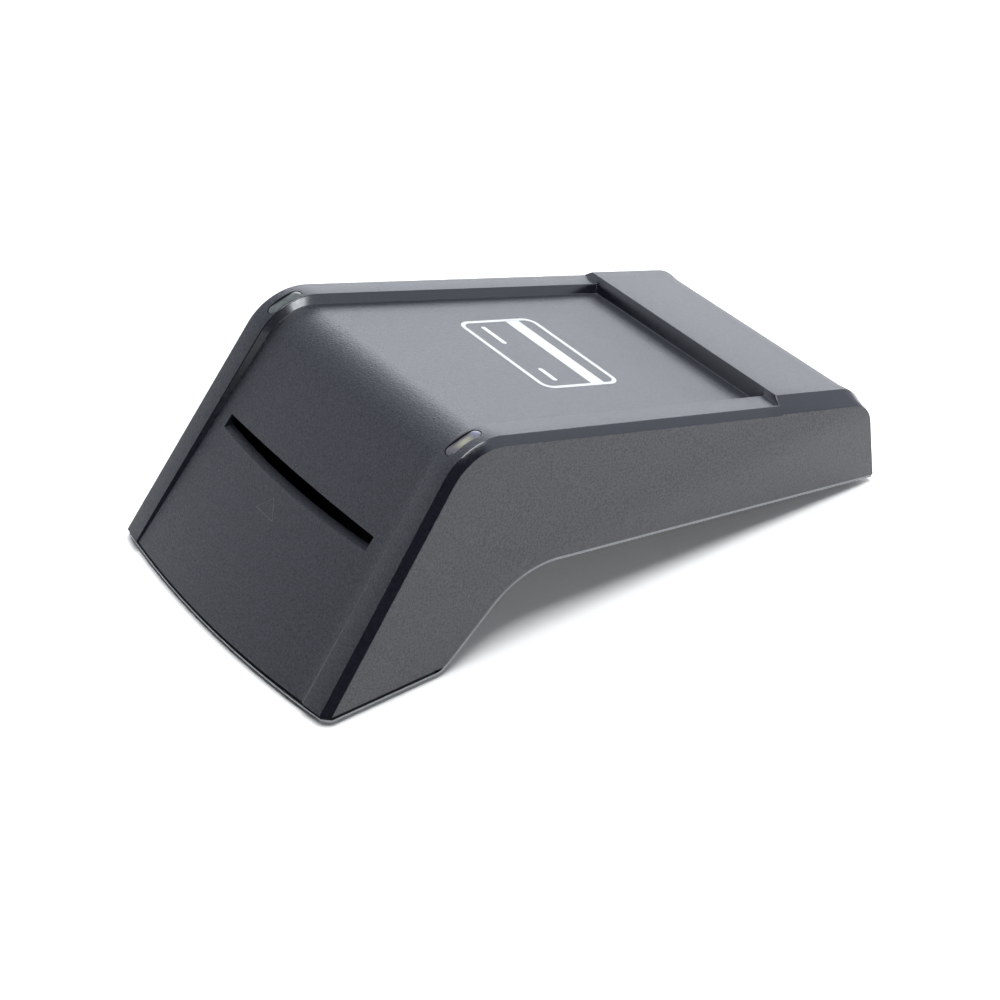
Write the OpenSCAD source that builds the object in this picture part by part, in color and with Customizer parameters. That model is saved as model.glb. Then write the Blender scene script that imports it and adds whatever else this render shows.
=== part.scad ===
// Desk smart card reader: a hollow wedge-shaped housing that stands on a short front foot
// and on its rear end, with a card slot in the sloping front and an antenna under the top.
// The front faces -Y, +Z is up, and the table is at z = 0.

/* [Housing] */
// Width over the sides at the front, where they meet the table
front_w = 83.6; // [78:0.2:90]
// Depth from the front seam to the rear seam
body_l = 152.5; // [149:0.5:158]
// Height of the point where the front slope and the top would meet
corner_h = 53.9; // [52.5:0.1:56]
// Angle of the front slope above the table
front_angle = 53.8; // [52:0.2:56]
// Fall of the top towards the rear
top_angle = 15.5; // [14.5:0.1:16.5]
// Radius of the rounded front corner
corner_r = 14; // [12:0.5:16]
// Height of the seam above the table along the front foot
seam_h = 2.6; // [2.2:0.1:3.2]
// Height of the seam above the table at the rear end
rear_seam_h = 1.9; // [1.7:0.1:2.4]
// Height of the rear end's top edge before it is rounded
rear_h = 25.3; // [23:0.1:28]
// How far the rear end leans forward between its bottom and its top
rear_lean = 3.4; // [2:0.1:5]
// Inward lean of each side, as a share of the height
side_lean_share = 0.03; // [0.02:0.01:0.04]
// Narrowing of each side towards the rear, as a share of the depth
side_taper_share = 0.03; // [0.02:0.01:0.04]
// Width of the bevel between a side and the rail above it
bevel_w = 1.8; // [1.2:0.1:2.2]
// Height of that bevel
bevel_h = 1.5; // [1.2:0.1:1.8]
// How far the middle of the front bulges out at the seam
front_bulge = 2.4; // [1.6:0.1:3]
// Wall thickness of the housing
wall = 2.2; // [1.8:0.1:2.4]

/* [Top and rails] */
// Width of each rail beside the sunk panel
rail_w = 5.3; // [4.6:0.1:6]
// Depth of the sunk panel below the rails
panel_depth = 2.2; // [1.6:0.1:2.4]
// Depth of the sunk panel at the foot of the front
panel_foot = 0.35; // [0.3:0.05:0.6]
// Draft of the sunk panel's side walls
wall_draft = 0.7; // [0.3:0.1:1]
// Length of the raised rear block along the top, with its rounded edge
block_l = 27.5; // [24:0.1:30]
// Height of the rear block above the rails
block_rise = 1.6; // [1:0.1:2]
// Radius of the rear block's top edge in the middle
rear_edge_r = 11; // [10:0.1:12]
// Radius of the rear block's top edge beside each side
rear_side_r = 7; // [6:0.1:8]

/* [Underside] */
// Length of the front foot along the table
foot_l = 30; // [28:0.5:32]
// Angle of the rise behind the foot
riser_angle = 39.3; // [38:0.1:41]
// Depth at which the rise and the straight underside would meet
arch_y = 50.2; // [49:0.1:52]
// Radius of the arch
arch_r = 22; // [18:0.5:24]
// Radius of the foot's rear edge
foot_edge_r = 3; // [1:0.1:4]
// Depth of the base below the seam at the foot
foot_rim = 1.6; // [1.2:0.1:1.8]
// Depth of the base below the seam under the arch and the rear
base_rim = 0.8; // [0.6:0.1:1]
// Thickness of the base's floor above the seam
floor_t = 1.6; // [1.4:0.1:1.8]
// Width of the shadow gap at the seam
seam_gap = 0.35; // [0.25:0.05:0.45]
// How far the rim of the base stands back from the side
rim_inset = 0.3; // [0.2:0.05:0.5]
// Play between the base and the inside of the housing
base_play = 0.25; // [0.2:0.05:0.35]

/* [Card path] */
// Width of a card
card_w = 53.98; // [53.98:53.98]
// Thickness of a card
card_t = 0.76; // [0.76:0.76]
// Width of the slot
slot_w = 56.4; // [56:0.2:58]
// How far the slot's middle lies to the left
slot_side = 0.7; // [0:0.1:0.8]
// Height of the slot's mouth
slot_h = 2.8; // [2.4:0.1:3.2]
// Dip in the middle of the slot's lower lip
slot_dip = 0.8; // [0.4:0.1:1.2]
// Distance of the slot up the front slope
slot_up = 33.5; // [33:0.1:35]
// Downward tilt of the card and of the main board
card_tilt = 5; // [4.5:0.1:5.5]
// Height of the card's middle above the main board
card_level = 3.7; // [3.6:0.1:3.9]
// Side of the insertion mark, a triangle cut below the slot
mark_w = 7; // [5:0.5:9]
// Width and depth of the mark's groove
mark_groove = 0.25; // [0.2:0.05:0.5]
// Distance of the mark's base up the front slope
mark_up = 24; // [22:0.5:26]

/* [Contact unit] */
// Length of the contact unit
unit_l = 54; // [53.5:0.1:54.5]
// Width of each side bar of the contact unit, beside the card's channel
side_bar = 3.74; // [3.6:0.02:4]
// Height of the contact unit without its cover
unit_h = 7.8; // [7.6:0.1:8]
// Thickness of the contact unit's cover
cover_t = 1.2; // [1:0.1:1.4]
// Depth from the unit's front to the wall that stops the carriage
stop_u = 48.2; // [48:0.1:48.4]
// Depth from the unit's front to the front of the carriage
carriage_u = 18; // [17.6:0.1:18.4]
// Length of the contact carriage
carriage_l = 25; // [24.8:0.1:25]
// Thickness of the contact carriage
carriage_t = 2.6; // [2.5:0.05:2.7]
// Travel of the contact carriage along the card
carriage_travel = 5; // [4.5:0.1:5]
// How far the carriage comes down onto the card over its travel
carriage_drop = 0.6; // [0.5:0.05:0.6]
// Radius of the pegs that guide the carriage
peg_r = 0.9; // [0.8:0.05:1]
// Play between a peg and its track
peg_play = 0.08; // [0.05:0.01:0.1]
// Distance of the first contact row from the card's leading edge
contact_row = 11.25; // [11.25:11.25]
// Distance between the two contact rows
row_pitch = 7.62; // [7.62:7.62]
// Distance of the outermost contact from the card's middle line
contact_col = 6.91; // [6.91:6.91]
// Distance between neighbouring contacts in a row
contact_pitch = 2.54; // [2.54:2.54]
// Width of a contact spring
contact_w = 0.9; // [0.7:0.05:1]
// Thickness of a contact spring
contact_t = 0.15; // [0.1:0.01:0.2]
// Radius of a return spring to the middle of its wire
spring_r = 1; // [0.9:0.05:1.05]
// Radius of the return spring's wire
spring_wire_r = 0.15; // [0.12:0.01:0.18]
// Sideways place of each return spring
spring_x = 14; // [13.5:0.1:14.5]
// Depth of the pocket that holds each end of a return spring
spring_pocket = 3; // [2.8:0.1:3.2]
// Sideways place of the detection lever's pivot
lever_x = 22; // [21.8:0.1:22.2]
// Length of the detection lever's arm
lever_arm = 7; // [6.8:0.1:7.2]
// Length of the detection lever's tail
lever_tail = 6; // [5.8:0.1:6.2]
// Thickness of the detection lever
lever_t = 1.05; // [1:0.05:1.1]
// Radius of the detection lever's pivot pin
lever_pin_r = 0.8; // [0.75:0.05:0.85]
// Swing of the detection lever in degrees
lever_swing = 12; // [10:1:12]

/* [Boards] */
// Thickness of the main board
board_t = 1.6; // [1.2:0.1:1.6]
// Clearance between the main board and each side of the housing
board_play = 1; // [0.9:0.1:1.3]
// Width of the main board's tail
board_tail_w = 42; // [38:0.5:43]
// Thickness of the antenna board
antenna_t = 1; // [0.8:0.1:1.2]
// Width of the antenna board
antenna_w = 62; // [58:0.5:63]
// Clearance between the antenna board and the rear block, along the top
antenna_gap = 6.9; // [6:0.1:10]
// Gap between the antenna board and the housing above it
antenna_drop = 1.8; // [1.6:0.1:2]
// Width of an antenna trace
trace_w = 0.8; // [0.6:0.1:1]
// Thickness of an antenna trace
trace_t = 0.1; // [0.08:0.01:0.12]
// Thickness of the ferrite sheet
ferrite_t = 0.4; // [0.3:0.05:0.5]
// Radius of a board screw's shank
board_screw_r = 1; // [0.9:0.05:1.1]
// Length of a board screw's shank
board_screw_l = 3.4; // [3:0.1:3.6]

/* [Small parts] */
// Width of a status light window
window_w = 2.5; // [2.4:0.1:2.8]
// Length of a status light window round the corner
window_l = 8.6; // [8:0.1:9.2]
// Play round a light guide in its window
window_play = 0.15; // [0.1:0.01:0.2]
// Radius of a rubber foot
pad_r = 4.5; // [4:0.1:5]
// Depth of the recess that holds a rubber foot
pad_sink = 0.7; // [0.5:0.05:0.8]
// Radius of a housing screw's head
screw_head_r = 2.6; // [2.4:0.1:2.8]
// Height of a housing screw's head
screw_head_h = 1.3; // [1.1:0.1:1.4]
// Radius of a housing screw's shank
screw_r = 1.3; // [1.2:0.05:1.4]
// Length of a housing screw's shank
screw_l = 8; // [7:0.5:9]
// Width of the cable socket's metal mouth
usb_w = 8.94; // [8.94:8.94]
// Height of the cable socket's metal mouth
usb_h = 3.26; // [3.26:3.26]
// Length of the cable socket
usb_l = 7.4; // [7:0.1:7.6]
// Wall thickness of the cable socket's mouth
usb_t = 0.3; // [0.25:0.05:0.35]

/* [Hidden] */
$fn = 48;

// A hair's breadth, a clear gap, and a size larger than the whole reader
eps = wall * 0.01;
gap = wall * 0.1;
far = body_l * 1.2;

// Directions along the slope and the top, and square to them, in the side view
slope_dir = [cos(front_angle), sin(front_angle)];
slope_out = [-sin(front_angle), cos(front_angle)];
top_dir = [cos(top_angle), -sin(top_angle)];
top_out = [sin(top_angle), cos(top_angle)];
corner = [(corner_h - seam_h) / tan(front_angle), corner_h];
slope_l = (corner_h - seam_h) / sin(front_angle);
half_w = front_w / 2 + side_lean_share * seam_h;
rail_out = half_w - bevel_w;
rail_in = rail_out - rail_w;
skin_t = panel_depth + wall;
block_start = (body_l - rear_lean - corner[0]) / cos(top_angle) - block_l;
arch_h = seam_h + (arch_y - foot_l) * tan(riser_angle);
under_angle = atan((arch_h - rear_seam_h) / (body_l - arch_y));
rear_slant = atan(rear_lean / (rear_h - rear_seam_h));
rear_dir = [-sin(rear_slant), cos(rear_slant)];
rear_out = [cos(rear_slant), sin(rear_slant)];
// Middle of the reader's depth, which is its origin
mid_y = (body_l - front_bulge / sin(front_angle)) / 2;

function cross2(a, b) = a[0] * b[1] - a[1] * b[0];
// Point where two lines cross, each given by a point and a direction
function meet(p, d, q, e) = p + d * (cross2(q - p, e) / cross2(d, e));
function on_top(s, n) = corner + top_dir * s + top_out * n;
function on_slope(s, n) = [0, seam_h] + slope_dir * s + slope_out * n;
// Half width of the housing at a place in the side view
function side_at(p) = half_w - side_taper_share * p[0] - side_lean_share * p[1];
// Height of the base's underside on the straight stretch
function under_z(y) =
    rear_seam_h + (body_l - y) * tan(under_angle) - base_rim / cos(under_angle);
// Height of the base's floor there
function floor_z(y) = under_z(y) + (base_rim + floor_t) / cos(under_angle);

// Middle of the rounded corner's arc on the rails, and the direction out of it
bend_angle = 90 + (front_angle - top_angle) / 2;
bend_out = [cos(bend_angle), sin(bend_angle)];
bend_centre = meet(on_slope(0, -corner_r), slope_dir, on_top(0, -corner_r), top_dir);
bend_mid = bend_centre + bend_out * corner_r;
window_x = side_at(bend_mid) - bevel_w - rail_w * 0.65;
window_up = window_l * 0.06;

// Places on the main board: u along it from its front edge, w up from its top
slot_at = on_slope(slot_up, 0);
board_y = corner[0] * 0.75;
board_z = slot_at[1] - (board_y - slot_at[0]) * tan(card_tilt) - card_level / cos(card_tilt);
board_l = (body_l - wall * 3.2 - board_y) / cos(card_tilt);
board_neck = unit_l * 0.98;
board_w = 2 * (side_at(on_board(board_neck, 0)) - wall - board_play);
function on_board(u, w) = [board_y + u * cos(card_tilt) + w * sin(card_tilt),
    board_z - u * sin(card_tilt) + w * cos(card_tilt)];
card_top = card_level + card_t / 2;
card_low = card_level - card_t / 2;
channel_low = card_low - card_t * 0.15;
channel_w = card_w + card_t * 0.7;
unit_w = channel_w + 2 * side_bar;
unit_u = side_bar * 0.27;
// Place on the main board's tail, as a share of the way from the contact unit to the rear edge
function tail_at(share) = unit_u + unit_l + (board_l - unit_u - unit_l) * share;
contact_rows = [contact_row, contact_row + row_pitch];
contact_cols = [for (i = [0:3]) contact_pitch * i - contact_col];
carriage_w = channel_w - peg_play * 8;
carriage_low = unit_h - peg_play - carriage_t;
peg_us = [carriage_u + carriage_l * 0.2, carriage_u + carriage_l * 0.8];
peg_level = carriage_low + carriage_t * 0.5;
spring_level = carriage_low + carriage_t * 0.5;
lever_u = stop_u + lever_pin_r * 3.2;
lever_w = channel_low + card_t * 0.12;

// Screw places, sideways and in depth
case_screw_places = [[front_w * 0.26, foot_l * 0.45], [front_w * 0.335, body_l * 0.84]];
pad_places = [[front_w * 0.385, foot_l * 0.3], [front_w * 0.33, body_l * 0.945]];
board_screw_x = (unit_w + board_w) / 4;
board_screw_places = [[board_screw_x, unit_l * 0.12], [board_screw_x, unit_l * 0.86],
    [board_tail_w * 0.4, tail_at(0.89)]];
antenna_start = skin_t * 1.15;
antenna_l = block_start - antenna_gap - antenna_start;
antenna_level = -skin_t - antenna_drop;
antenna_screw_places = [[antenna_w * 0.46, antenna_l * 0.16], [antenna_w * 0.46, antenna_l * 0.95]];
ferrite_end = antenna_start + antenna_l * 0.92;
led_h = card_t;
led_l = led_h * 2.3;
// Level at which the contact springs are held in the carriage
anchor_w = carriage_low + carriage_t * 0.35;
cable_w = antenna_w * 0.2;
cable_t = ferrite_t * 0.6;
socket_h = card_t * 3;
// The flat cable: its end on the antenna board, and its socket on the main board before that end
cable_end = on_top(antenna_start + antenna_l, antenna_level - antenna_t - cable_t / 2);
cable_u = (cable_end[0] - board_y) / cos(card_tilt) - socket_h * 1.6;

// Every piece is drawn from the front seam and then moved so that the origin is in the middle
module placed() {
    translate([0, -mid_y, 0])
        children();
}

module on_main() {
    translate([0, board_y, board_z])
        rotate([-card_tilt, 0, 0])
            children();
}

module under_top() {
    translate([0, corner[0], corner[1]])
        rotate([-top_angle, 0, 0])
            children();
}

module both_sides() {
    children();
    mirror([1, 0, 0])
        children();
}

// Box between two corners
module box(low, high) {
    translate(low)
        cube(high - low);
}

// Solid of a side view outline, run across the housing
module across(half) {
    translate([-half, 0, 0])
        rotate([90, 0, 90])
            linear_extrude(height = 2 * half)
                children();
}

// Points of an arc from one angle to another
function arc_points(centre, r, a0, a1, steps) =
    [for (i = [0:steps]) let (a = a0 + (a1 - a0) * i / steps) centre + r * [cos(a), sin(a)]];

// Outline of a bar with round ends, from p to q
function stadium(p, q, r) =
    let (a = atan2(q[1] - p[1], q[0] - p[0]))
    concat(arc_points(p, r, a + 90, a + 270, 16), arc_points(q, r, a - 90, a + 90, 16));

// Outline of a strip of even thickness that follows a path
function turn_out(path, i) =
    let (
        last = len(path) - 1,
        d0 = path[max(i, 1)] - path[max(i, 1) - 1],
        d1 = path[min(i + 1, last)] - path[min(i, last - 1)],
        n0 = [-d0[1], d0[0]] / norm(d0),
        n1 = [-d1[1], d1[0]] / norm(d1)
    )
    (n0 + n1) / (1 + n0 * n1);
function ribbon(path, t) =
    concat(
        [for (i = [0:len(path) - 1]) path[i] + turn_out(path, i) * t / 2],
        [for (i = [len(path) - 1:-1:0]) path[i] - turn_out(path, i) * t / 2]
    );

// Face that bulges in front: its lowest point and its direction at the distance x from the middle
function bulge_at(x) = front_bulge * (1 - pow(x / rail_out, 2));
function front_low(x, n_low) = on_slope(0, n_low + bulge_at(x));
function front_dir(x, n_low, n_high) =
    let (d = corner + slope_out * n_high - front_low(x, n_low)) d / norm(d);

// Side view of that face at x, with the rounded corner and the top, closed below the housing
function skin_ring(x, n_low, n_high, n_top, r, steps) =
    let (
        d = front_dir(x, n_low, n_high),
        out = [-d[1], d[0]],
        low = front_low(x, n_low),
        centre = meet(low - out * r, d, on_top(0, n_top - r), top_dir)
    )
    concat(
        [low - d * seam_h * 3],
        arc_points(centre, r, atan2(out[1], out[0]), 90 - top_angle, steps),
        [on_top(body_l, n_top), [body_l * 1.4, -seam_h * 6], [corner[0], -seam_h * 6]]
    );

// Solid through a row of rings, each a closed outline with the same number of points
module loft(rings) {
    count = len(rings[0]);
    last = len(rings) - 1;
    sides = [for (i = [0:last - 1], k = [0:count - 1])
        let (a = i * count + k, b = i * count + (k + 1) % count)
        each [[a, b, a + count], [b, b + count, a + count]]];
    polyhedron(
        points = [for (ring = rings, p = ring) p],
        faces = concat(sides, [[for (k = [count - 1:-1:0]) k]],
            [[for (k = [0:count - 1]) last * count + k]]),
        convexity = 4
    );
}

// Solid below such a face
module skin(n_low, n_high, n_top, r, half, stations = 10, steps = 9) {
    loft([for (i = [0:stations])
        let (x = half * (2 * i / stations - 1))
        [for (p = skin_ring(x, n_low, n_high, n_top, r, steps)) [x, p[0], p[1]]]]);
}

// Side view outline of the form at one column, placed across the housing: up the front, round the
// corner, over the step of the rear block and down the rear end
function form_ring(column, step_at, rear_inset) =
    let (
        share = column[0],
        inset = column[1],
        n_low = column[2],
        n_high = column[3],
        n_block = column[4],
        x_low = min(abs(share) * (half_w - inset), rail_out),
        d = front_dir(x_low, n_low, n_high),
        out = [-d[1], d[0]],
        r = corner_r + n_high,
        centre = meet(front_low(x_low, n_low) - out * r, d, on_top(0, n_high - r), top_dir),
        r_rear = column[5],
        rear_foot = [body_l, rear_seam_h] - rear_out * rear_inset,
        rear_centre = meet(rear_foot - rear_out * r_rear, rear_dir, on_top(0, n_block - r_rear), top_dir)
    )
    [for (p = concat(
        [front_low(x_low, n_low) - d * seam_h * 3],
        arc_points(centre, r, atan2(out[1], out[0]), 90 - top_angle, 9),
        [on_top(step_at, n_high), on_top(step_at + block_rise / 4, n_block)],
        arc_points(rear_centre, r_rear, 90 - top_angle, rear_slant, 6),
        [rear_foot - rear_dir * seam_h * 4, [corner[0], -seam_h * 6]]
    )) [share * (side_at(p) - inset), p[0], p[1]]];

// Form between the two sides: the columns of one side, from the side inwards, and of the middle
module form(edge, middle, step_at, rear_inset) {
    last = edge[len(edge) - 1];
    loft([for (column = concat(
        [for (c = edge) concat(-1, c)],
        [for (share = middle) concat(share, last)],
        [for (i = [len(edge) - 1:-1:0]) concat(1, edge[i])]
    )) form_ring(column, step_at, rear_inset)]);
}

// Outline of everything below the seam, moved down by a drop at the foot and under the arch
module below_seam(foot_drop, drop) {
    low = seam_h - foot_drop;
    under_dir = [cos(under_angle), -sin(under_angle)];
    under_out = [sin(under_angle), cos(under_angle)];
    riser_dir = [cos(riser_angle), sin(riser_angle)];
    riser_out = [-sin(riser_angle), cos(riser_angle)];
    peak = [arch_y, arch_h];
    heel = meet([0, low], [1, 0], peak - riser_out * drop, riser_dir);
    crown = meet(peak - riser_out * drop, riser_dir, peak - under_out * drop, under_dir);
    r_arch = arch_r - drop;
    r_heel = foot_edge_r + drop;
    heel_centre = heel + [-r_heel * tan(riser_angle / 2), r_heel];
    run = r_arch * tan((riser_angle + under_angle) / 2);
    arch_centre = crown - riser_dir * run - riser_out * r_arch;
    polygon(concat(
        [[-far, -far], [-far, low]],
        arc_points(heel_centre, r_heel, -90, riser_angle - 90, 5),
        arc_points(arch_centre, r_arch, 90 + riser_angle, 90 - under_angle, 14),
        [crown + under_dir * far, [far, -far]]
    ));
}

// Half space outside one side of the housing, inset from it
module side_cut(inset) {
    translate([half_w - inset, 0, 0])
        rotate([0, -atan(side_lean_share), 0])
            rotate([0, 0, atan(side_taper_share)])
                translate([0, -far, -far])
                    cube([far, 2 * far, 2 * far]);
}

// Half space behind the rear end, inset from it
module rear_cut(inset) {
    translate([-far, body_l - inset / cos(rear_slant), rear_seam_h])
        rotate([rear_slant, 0, 0])
            translate([0, 0, -far])
                cube([2 * far, far, 2 * far]);
}

// Outer form with the bevels, the rails, the sunk panel between them and the rear block.
// Each column: inset from the side, heights at the foot and the top of the front and on the block,
// and the radius of the rear edge
module outer_form() {
    inner = bevel_w + rail_w;
    form([
        [0, -bevel_h, -bevel_h, -bevel_h * 0.75, rear_side_r],
        [bevel_w, 0, 0, 0, (rear_side_r * 2 + rear_edge_r) / 3],
        [bevel_w * (1 + block_rise / bevel_h), 0, 0, block_rise, (rear_side_r + rear_edge_r) / 2],
        [inner, 0, 0, block_rise, rear_edge_r],
        [inner + wall_draft, -panel_foot, -panel_depth, block_rise, rear_edge_r]
    ], [-0.75:0.25:0.75], block_start, 0);
}

// Outline of a status light window, seen along the way out of the bend
module window_outline(play) {
    run = (window_l - window_w) / 2;
    polygon(stadium([window_x, window_up - run], [window_x, window_up + run], window_w / 2 + play));
}

// Bar of that outline, from a depth below the bend to a height above it
module window_bar(play, depth, height) {
    translate([0, bend_mid[0], bend_mid[1]])
        rotate([bend_angle - 90, 0, 0])
            translate([0, 0, -depth])
                linear_extrude(height = depth + height)
                    window_outline(play);
}

// Card slot through the front, wider in front of the card's way than the card is thick
module slot_space() {
    dip_r = (pow(slot_w / 2, 2) + pow(slot_dip, 2)) / (2 * slot_dip);
    reach = board_y - slot_at[0] + slot_up * 0.4;
    on_main()
        intersection() {
            box([-slot_w / 2 - slot_side, -reach, card_level - slot_h],
                [slot_w / 2 - slot_side, unit_u, card_level + slot_h / 2]);
            translate([-slot_side, 0, card_level - slot_h / 2 - slot_dip + dip_r])
                rotate([90, 0, 0])
                    cylinder(r = dip_r, h = 4 * reach, center = true, $fn = 360);
        }
}

// Triangular insertion mark, cut as a fine groove into the front below the slot
module mark_space() {
    tip = mark_w * 0.62;
    up = mark_up / slope_l;
    depth = (bulge_at(0) - panel_foot) * (1 - up) - panel_depth * up;
    translate([-mark_w * 0.43, 0, seam_h])
        rotate([front_angle, 0, 0])
            translate([0, mark_up, depth - mark_groove])
                linear_extrude(height = wall)
                    difference() {
                        polygon([[-mark_w / 2, 0], [mark_w / 2, 0], [0, tip]]);
                        polygon([[-mark_w / 2 + mark_groove * 2, mark_groove],
                            [mark_w / 2 - mark_groove * 2, mark_groove], [0, tip - mark_groove * 1.6]]);
                    }
}

// Inside of the housing
module cavity() {
    form([[wall, -wall, -skin_t, block_rise - wall, rear_edge_r - wall]], [-0.75:0.25:0.75],
        block_start + wall, wall);
}

// Screw bosses that hang from the front and from the rear block
module bosses() {
    boss_r = screw_r * 2.3;
    foot_top = seam_h + floor_t + gap;
    front = case_screw_places[0];
    rear = case_screw_places[1];
    both_sides() {
        intersection() {
            translate([front[0], front[1], foot_top])
                cylinder(r = boss_r, h = corner_h);
            skin(-wall / 2, -skin_t + wall / 2, -skin_t + wall / 2, corner_r - skin_t, half_w, 4, 4);
        }
        translate([rear[0], rear[1], floor_z(rear[1]) + wall * 0.8])
            cylinder(r = boss_r, h = on_top(0, block_rise)[1] - (rear[1] - corner[0]) * tan(top_angle)
                - wall * 1.6 - floor_z(rear[1]));
    }
}

module boss_bores() {
    both_sides()
        for (place = case_screw_places)
            translate([place[0], place[1], 0])
                cylinder(r = screw_r + eps * 2, h = screw_seat(place[1]) + screw_l + gap);
}

// Height of a housing screw's seat, above its head
function screw_seat(y) =
    y < foot_l ? seam_h - foot_rim + screw_head_h + gap : under_z(y) + screw_head_h + wall * 0.4;

module at_antenna_screws() {
    under_top()
        both_sides()
            for (place = antenna_screw_places)
                translate([place[0], place[1], antenna_level])
                    children();
}

// Bosses that carry the antenna board under the roof, and their blind bores
module antenna_bosses() {
    at_antenna_screws()
        cylinder(r = board_screw_r * 2.2, h = antenna_drop + wall / 4);
}

module antenna_bores() {
    at_antenna_screws()
        translate([0, 0, -eps])
            cylinder(r = board_screw_r + eps, h = board_screw_l - antenna_t + gap);
}

module usb_opening() {
    on_main()
        translate([0, board_l - wall, usb_h / 2 + gap / 2])
            rotate([-90, 0, 0])
                linear_extrude(height = wall * 6)
                    polygon(stadium([-(usb_w - usb_h) / 2, 0], [(usb_w - usb_h) / 2, 0], usb_h / 2 + gap * 2));
}

module upper_shell() {
    placed()
        color([0.21, 0.21, 0.22]) {
            difference() {
                outer_form();
                cavity();
                across(far)
                    below_seam(0, 0);
                slot_space();
                mark_space();
                both_sides()
                    window_bar(window_play, skin_t * 2, wall * 2);
                usb_opening();
                antenna_bores();
            }
            difference() {
                bosses();
                boss_bores();
            }
            difference() {
                antenna_bosses();
                antenna_bores();
            }
        }
}

// Plan outline of the base, set back from the front, run up through the housing's lower part
module base_form(front_inset, side_inset, rear_inset) {
    xs = [for (i = [-8:8]) half_w * i / 8];
    difference() {
        linear_extrude(height = arch_h + wall * 3)
            polygon(concat(
                [for (x = xs) [x, (front_inset - bulge_at(x)) / sin(front_angle)]],
                [[half_w, body_l], [-half_w, body_l]]
            ));
        both_sides()
            side_cut(side_inset);
        rear_cut(rear_inset);
    }
}

// Posts that carry the main board, and rings that the housing screws pass through
module board_posts() {
    on_main()
        both_sides()
            for (place = board_screw_places)
                translate([place[0], place[1], -board_t - wall * 8])
                    cylinder(r = board_screw_r * 2, h = wall * 8);
}

module lower_shell() {
    ring_r = screw_head_r + wall * 0.6;
    placed()
        color([0.25, 0.25, 0.26])
            difference() {
                union() {
                    intersection() {
                        base_form(rim_inset, rim_inset, rim_inset);
                        across(far)
                            below_seam(seam_gap, seam_gap);
                    }
                    intersection() {
                        base_form(wall / 2, wall / 2, wall / 2);
                        across(far)
                            below_seam(0, 0);
                    }
                    intersection() {
                        base_form(wall + base_play + floor_t, wall + base_play, wall + base_play);
                        union() {
                            across(far)
                                below_seam(-floor_t, -floor_t);
                            board_posts();
                            both_sides()
                                translate(concat(case_screw_places[1], 0))
                                    cylinder(r = ring_r, h = floor_z(case_screw_places[1][1]) + wall * 0.7);
                        }
                    }
                }
                across(far)
                    below_seam(foot_rim, base_rim);
                both_sides() {
                    for (place = case_screw_places)
                        translate([place[0], place[1], 0]) {
                            translate([0, 0, -gap])
                                cylinder(r = screw_head_r + gap / 2, h = screw_seat(place[1]) + gap);
                            cylinder(r = screw_r + gap / 2, h = arch_h * 1.5);
                        }
                    for (place = pad_places)
                        translate(concat(place, -gap))
                            cylinder(r = pad_r + gap / 2, h = pad_top(place[1]) + gap);
                }
                on_main()
                    both_sides()
                        for (place = board_screw_places)
                            translate([place[0], place[1], -board_t - board_screw_l])
                                cylinder(r = board_screw_r + eps, h = board_screw_l + eps);
            }
}

// Height of a rubber foot's top in its recess
function pad_top(y) =
    y < foot_l ? seam_h - foot_rim + pad_sink : under_z(y) + pad_sink + pad_r * tan(under_angle);

module rubber_foot(place, side) {
    chamfer = pad_r * 0.1;
    placed()
        color([0.08, 0.08, 0.08])
            translate([place[0] * side, place[1], 0]) {
                cylinder(r1 = pad_r - chamfer, r2 = pad_r, h = chamfer);
                translate([0, 0, chamfer])
                    cylinder(r = pad_r, h = pad_top(place[1]) - chamfer);
            }
}

module foot_front_left() {
    rubber_foot(pad_places[0], -1);
}

module foot_front_right() {
    rubber_foot(pad_places[0], 1);
}

module foot_rear_left() {
    rubber_foot(pad_places[1], -1);
}

module foot_rear_right() {
    rubber_foot(pad_places[1], 1);
}

// Pan head screws that hold the two shells together
module case_screws() {
    placed()
        color([0.5, 0.5, 0.52])
            both_sides()
                for (place = case_screw_places)
                    translate([place[0], place[1], screw_seat(place[1])])
                        difference() {
                            union() {
                                translate([0, 0, -screw_head_h])
                                    cylinder(r = screw_head_r, h = screw_head_h);
                                cylinder(r = screw_r, h = screw_l);
                            }
                            translate([0, 0, -screw_head_h - eps])
                                for (turn = [0, 90])
                                    rotate([0, 0, turn])
                                        box([-screw_head_r * 0.65, -screw_head_r * 0.13, 0],
                                            [screw_head_r * 0.65, screw_head_r * 0.13, screw_head_h * 0.6]);
                        }
}

// Light guide that fills one window and reaches down to its light
module light_guide() {
    color([0.86, 0.86, 0.8])
        difference() {
            intersection() {
                window_bar(0, skin_t * 2, wall * 2);
                skin(-eps * 2, -eps * 2, -eps * 2, corner_r, half_w, 10, 12);
            }
            under_top()
                box([0, -wall * 9, antenna_level - wall * 4], [half_w, wall * 9, antenna_level + led_h + gap]);
        }
}

module light_guide_right() {
    placed()
        light_guide();
}

module light_guide_left() {
    placed()
        mirror([1, 0, 0])
            light_guide();
}

module status_led() {
    color([0.95, 0.95, 0.85])
        under_top()
            translate([window_x, antenna_start + led_l * 1.2, antenna_level]) {
                box([-led_l * 0.4, -led_l / 2, 0], [led_l * 0.4, led_l / 2, led_h * 0.5]);
                box([-led_l * 0.34, -led_l * 0.3, led_h * 0.5], [led_l * 0.34, led_l * 0.3, led_h]);
            }
}

module led_right() {
    placed()
        status_led();
}

module led_left() {
    placed()
        mirror([1, 0, 0])
            status_led();
}

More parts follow.
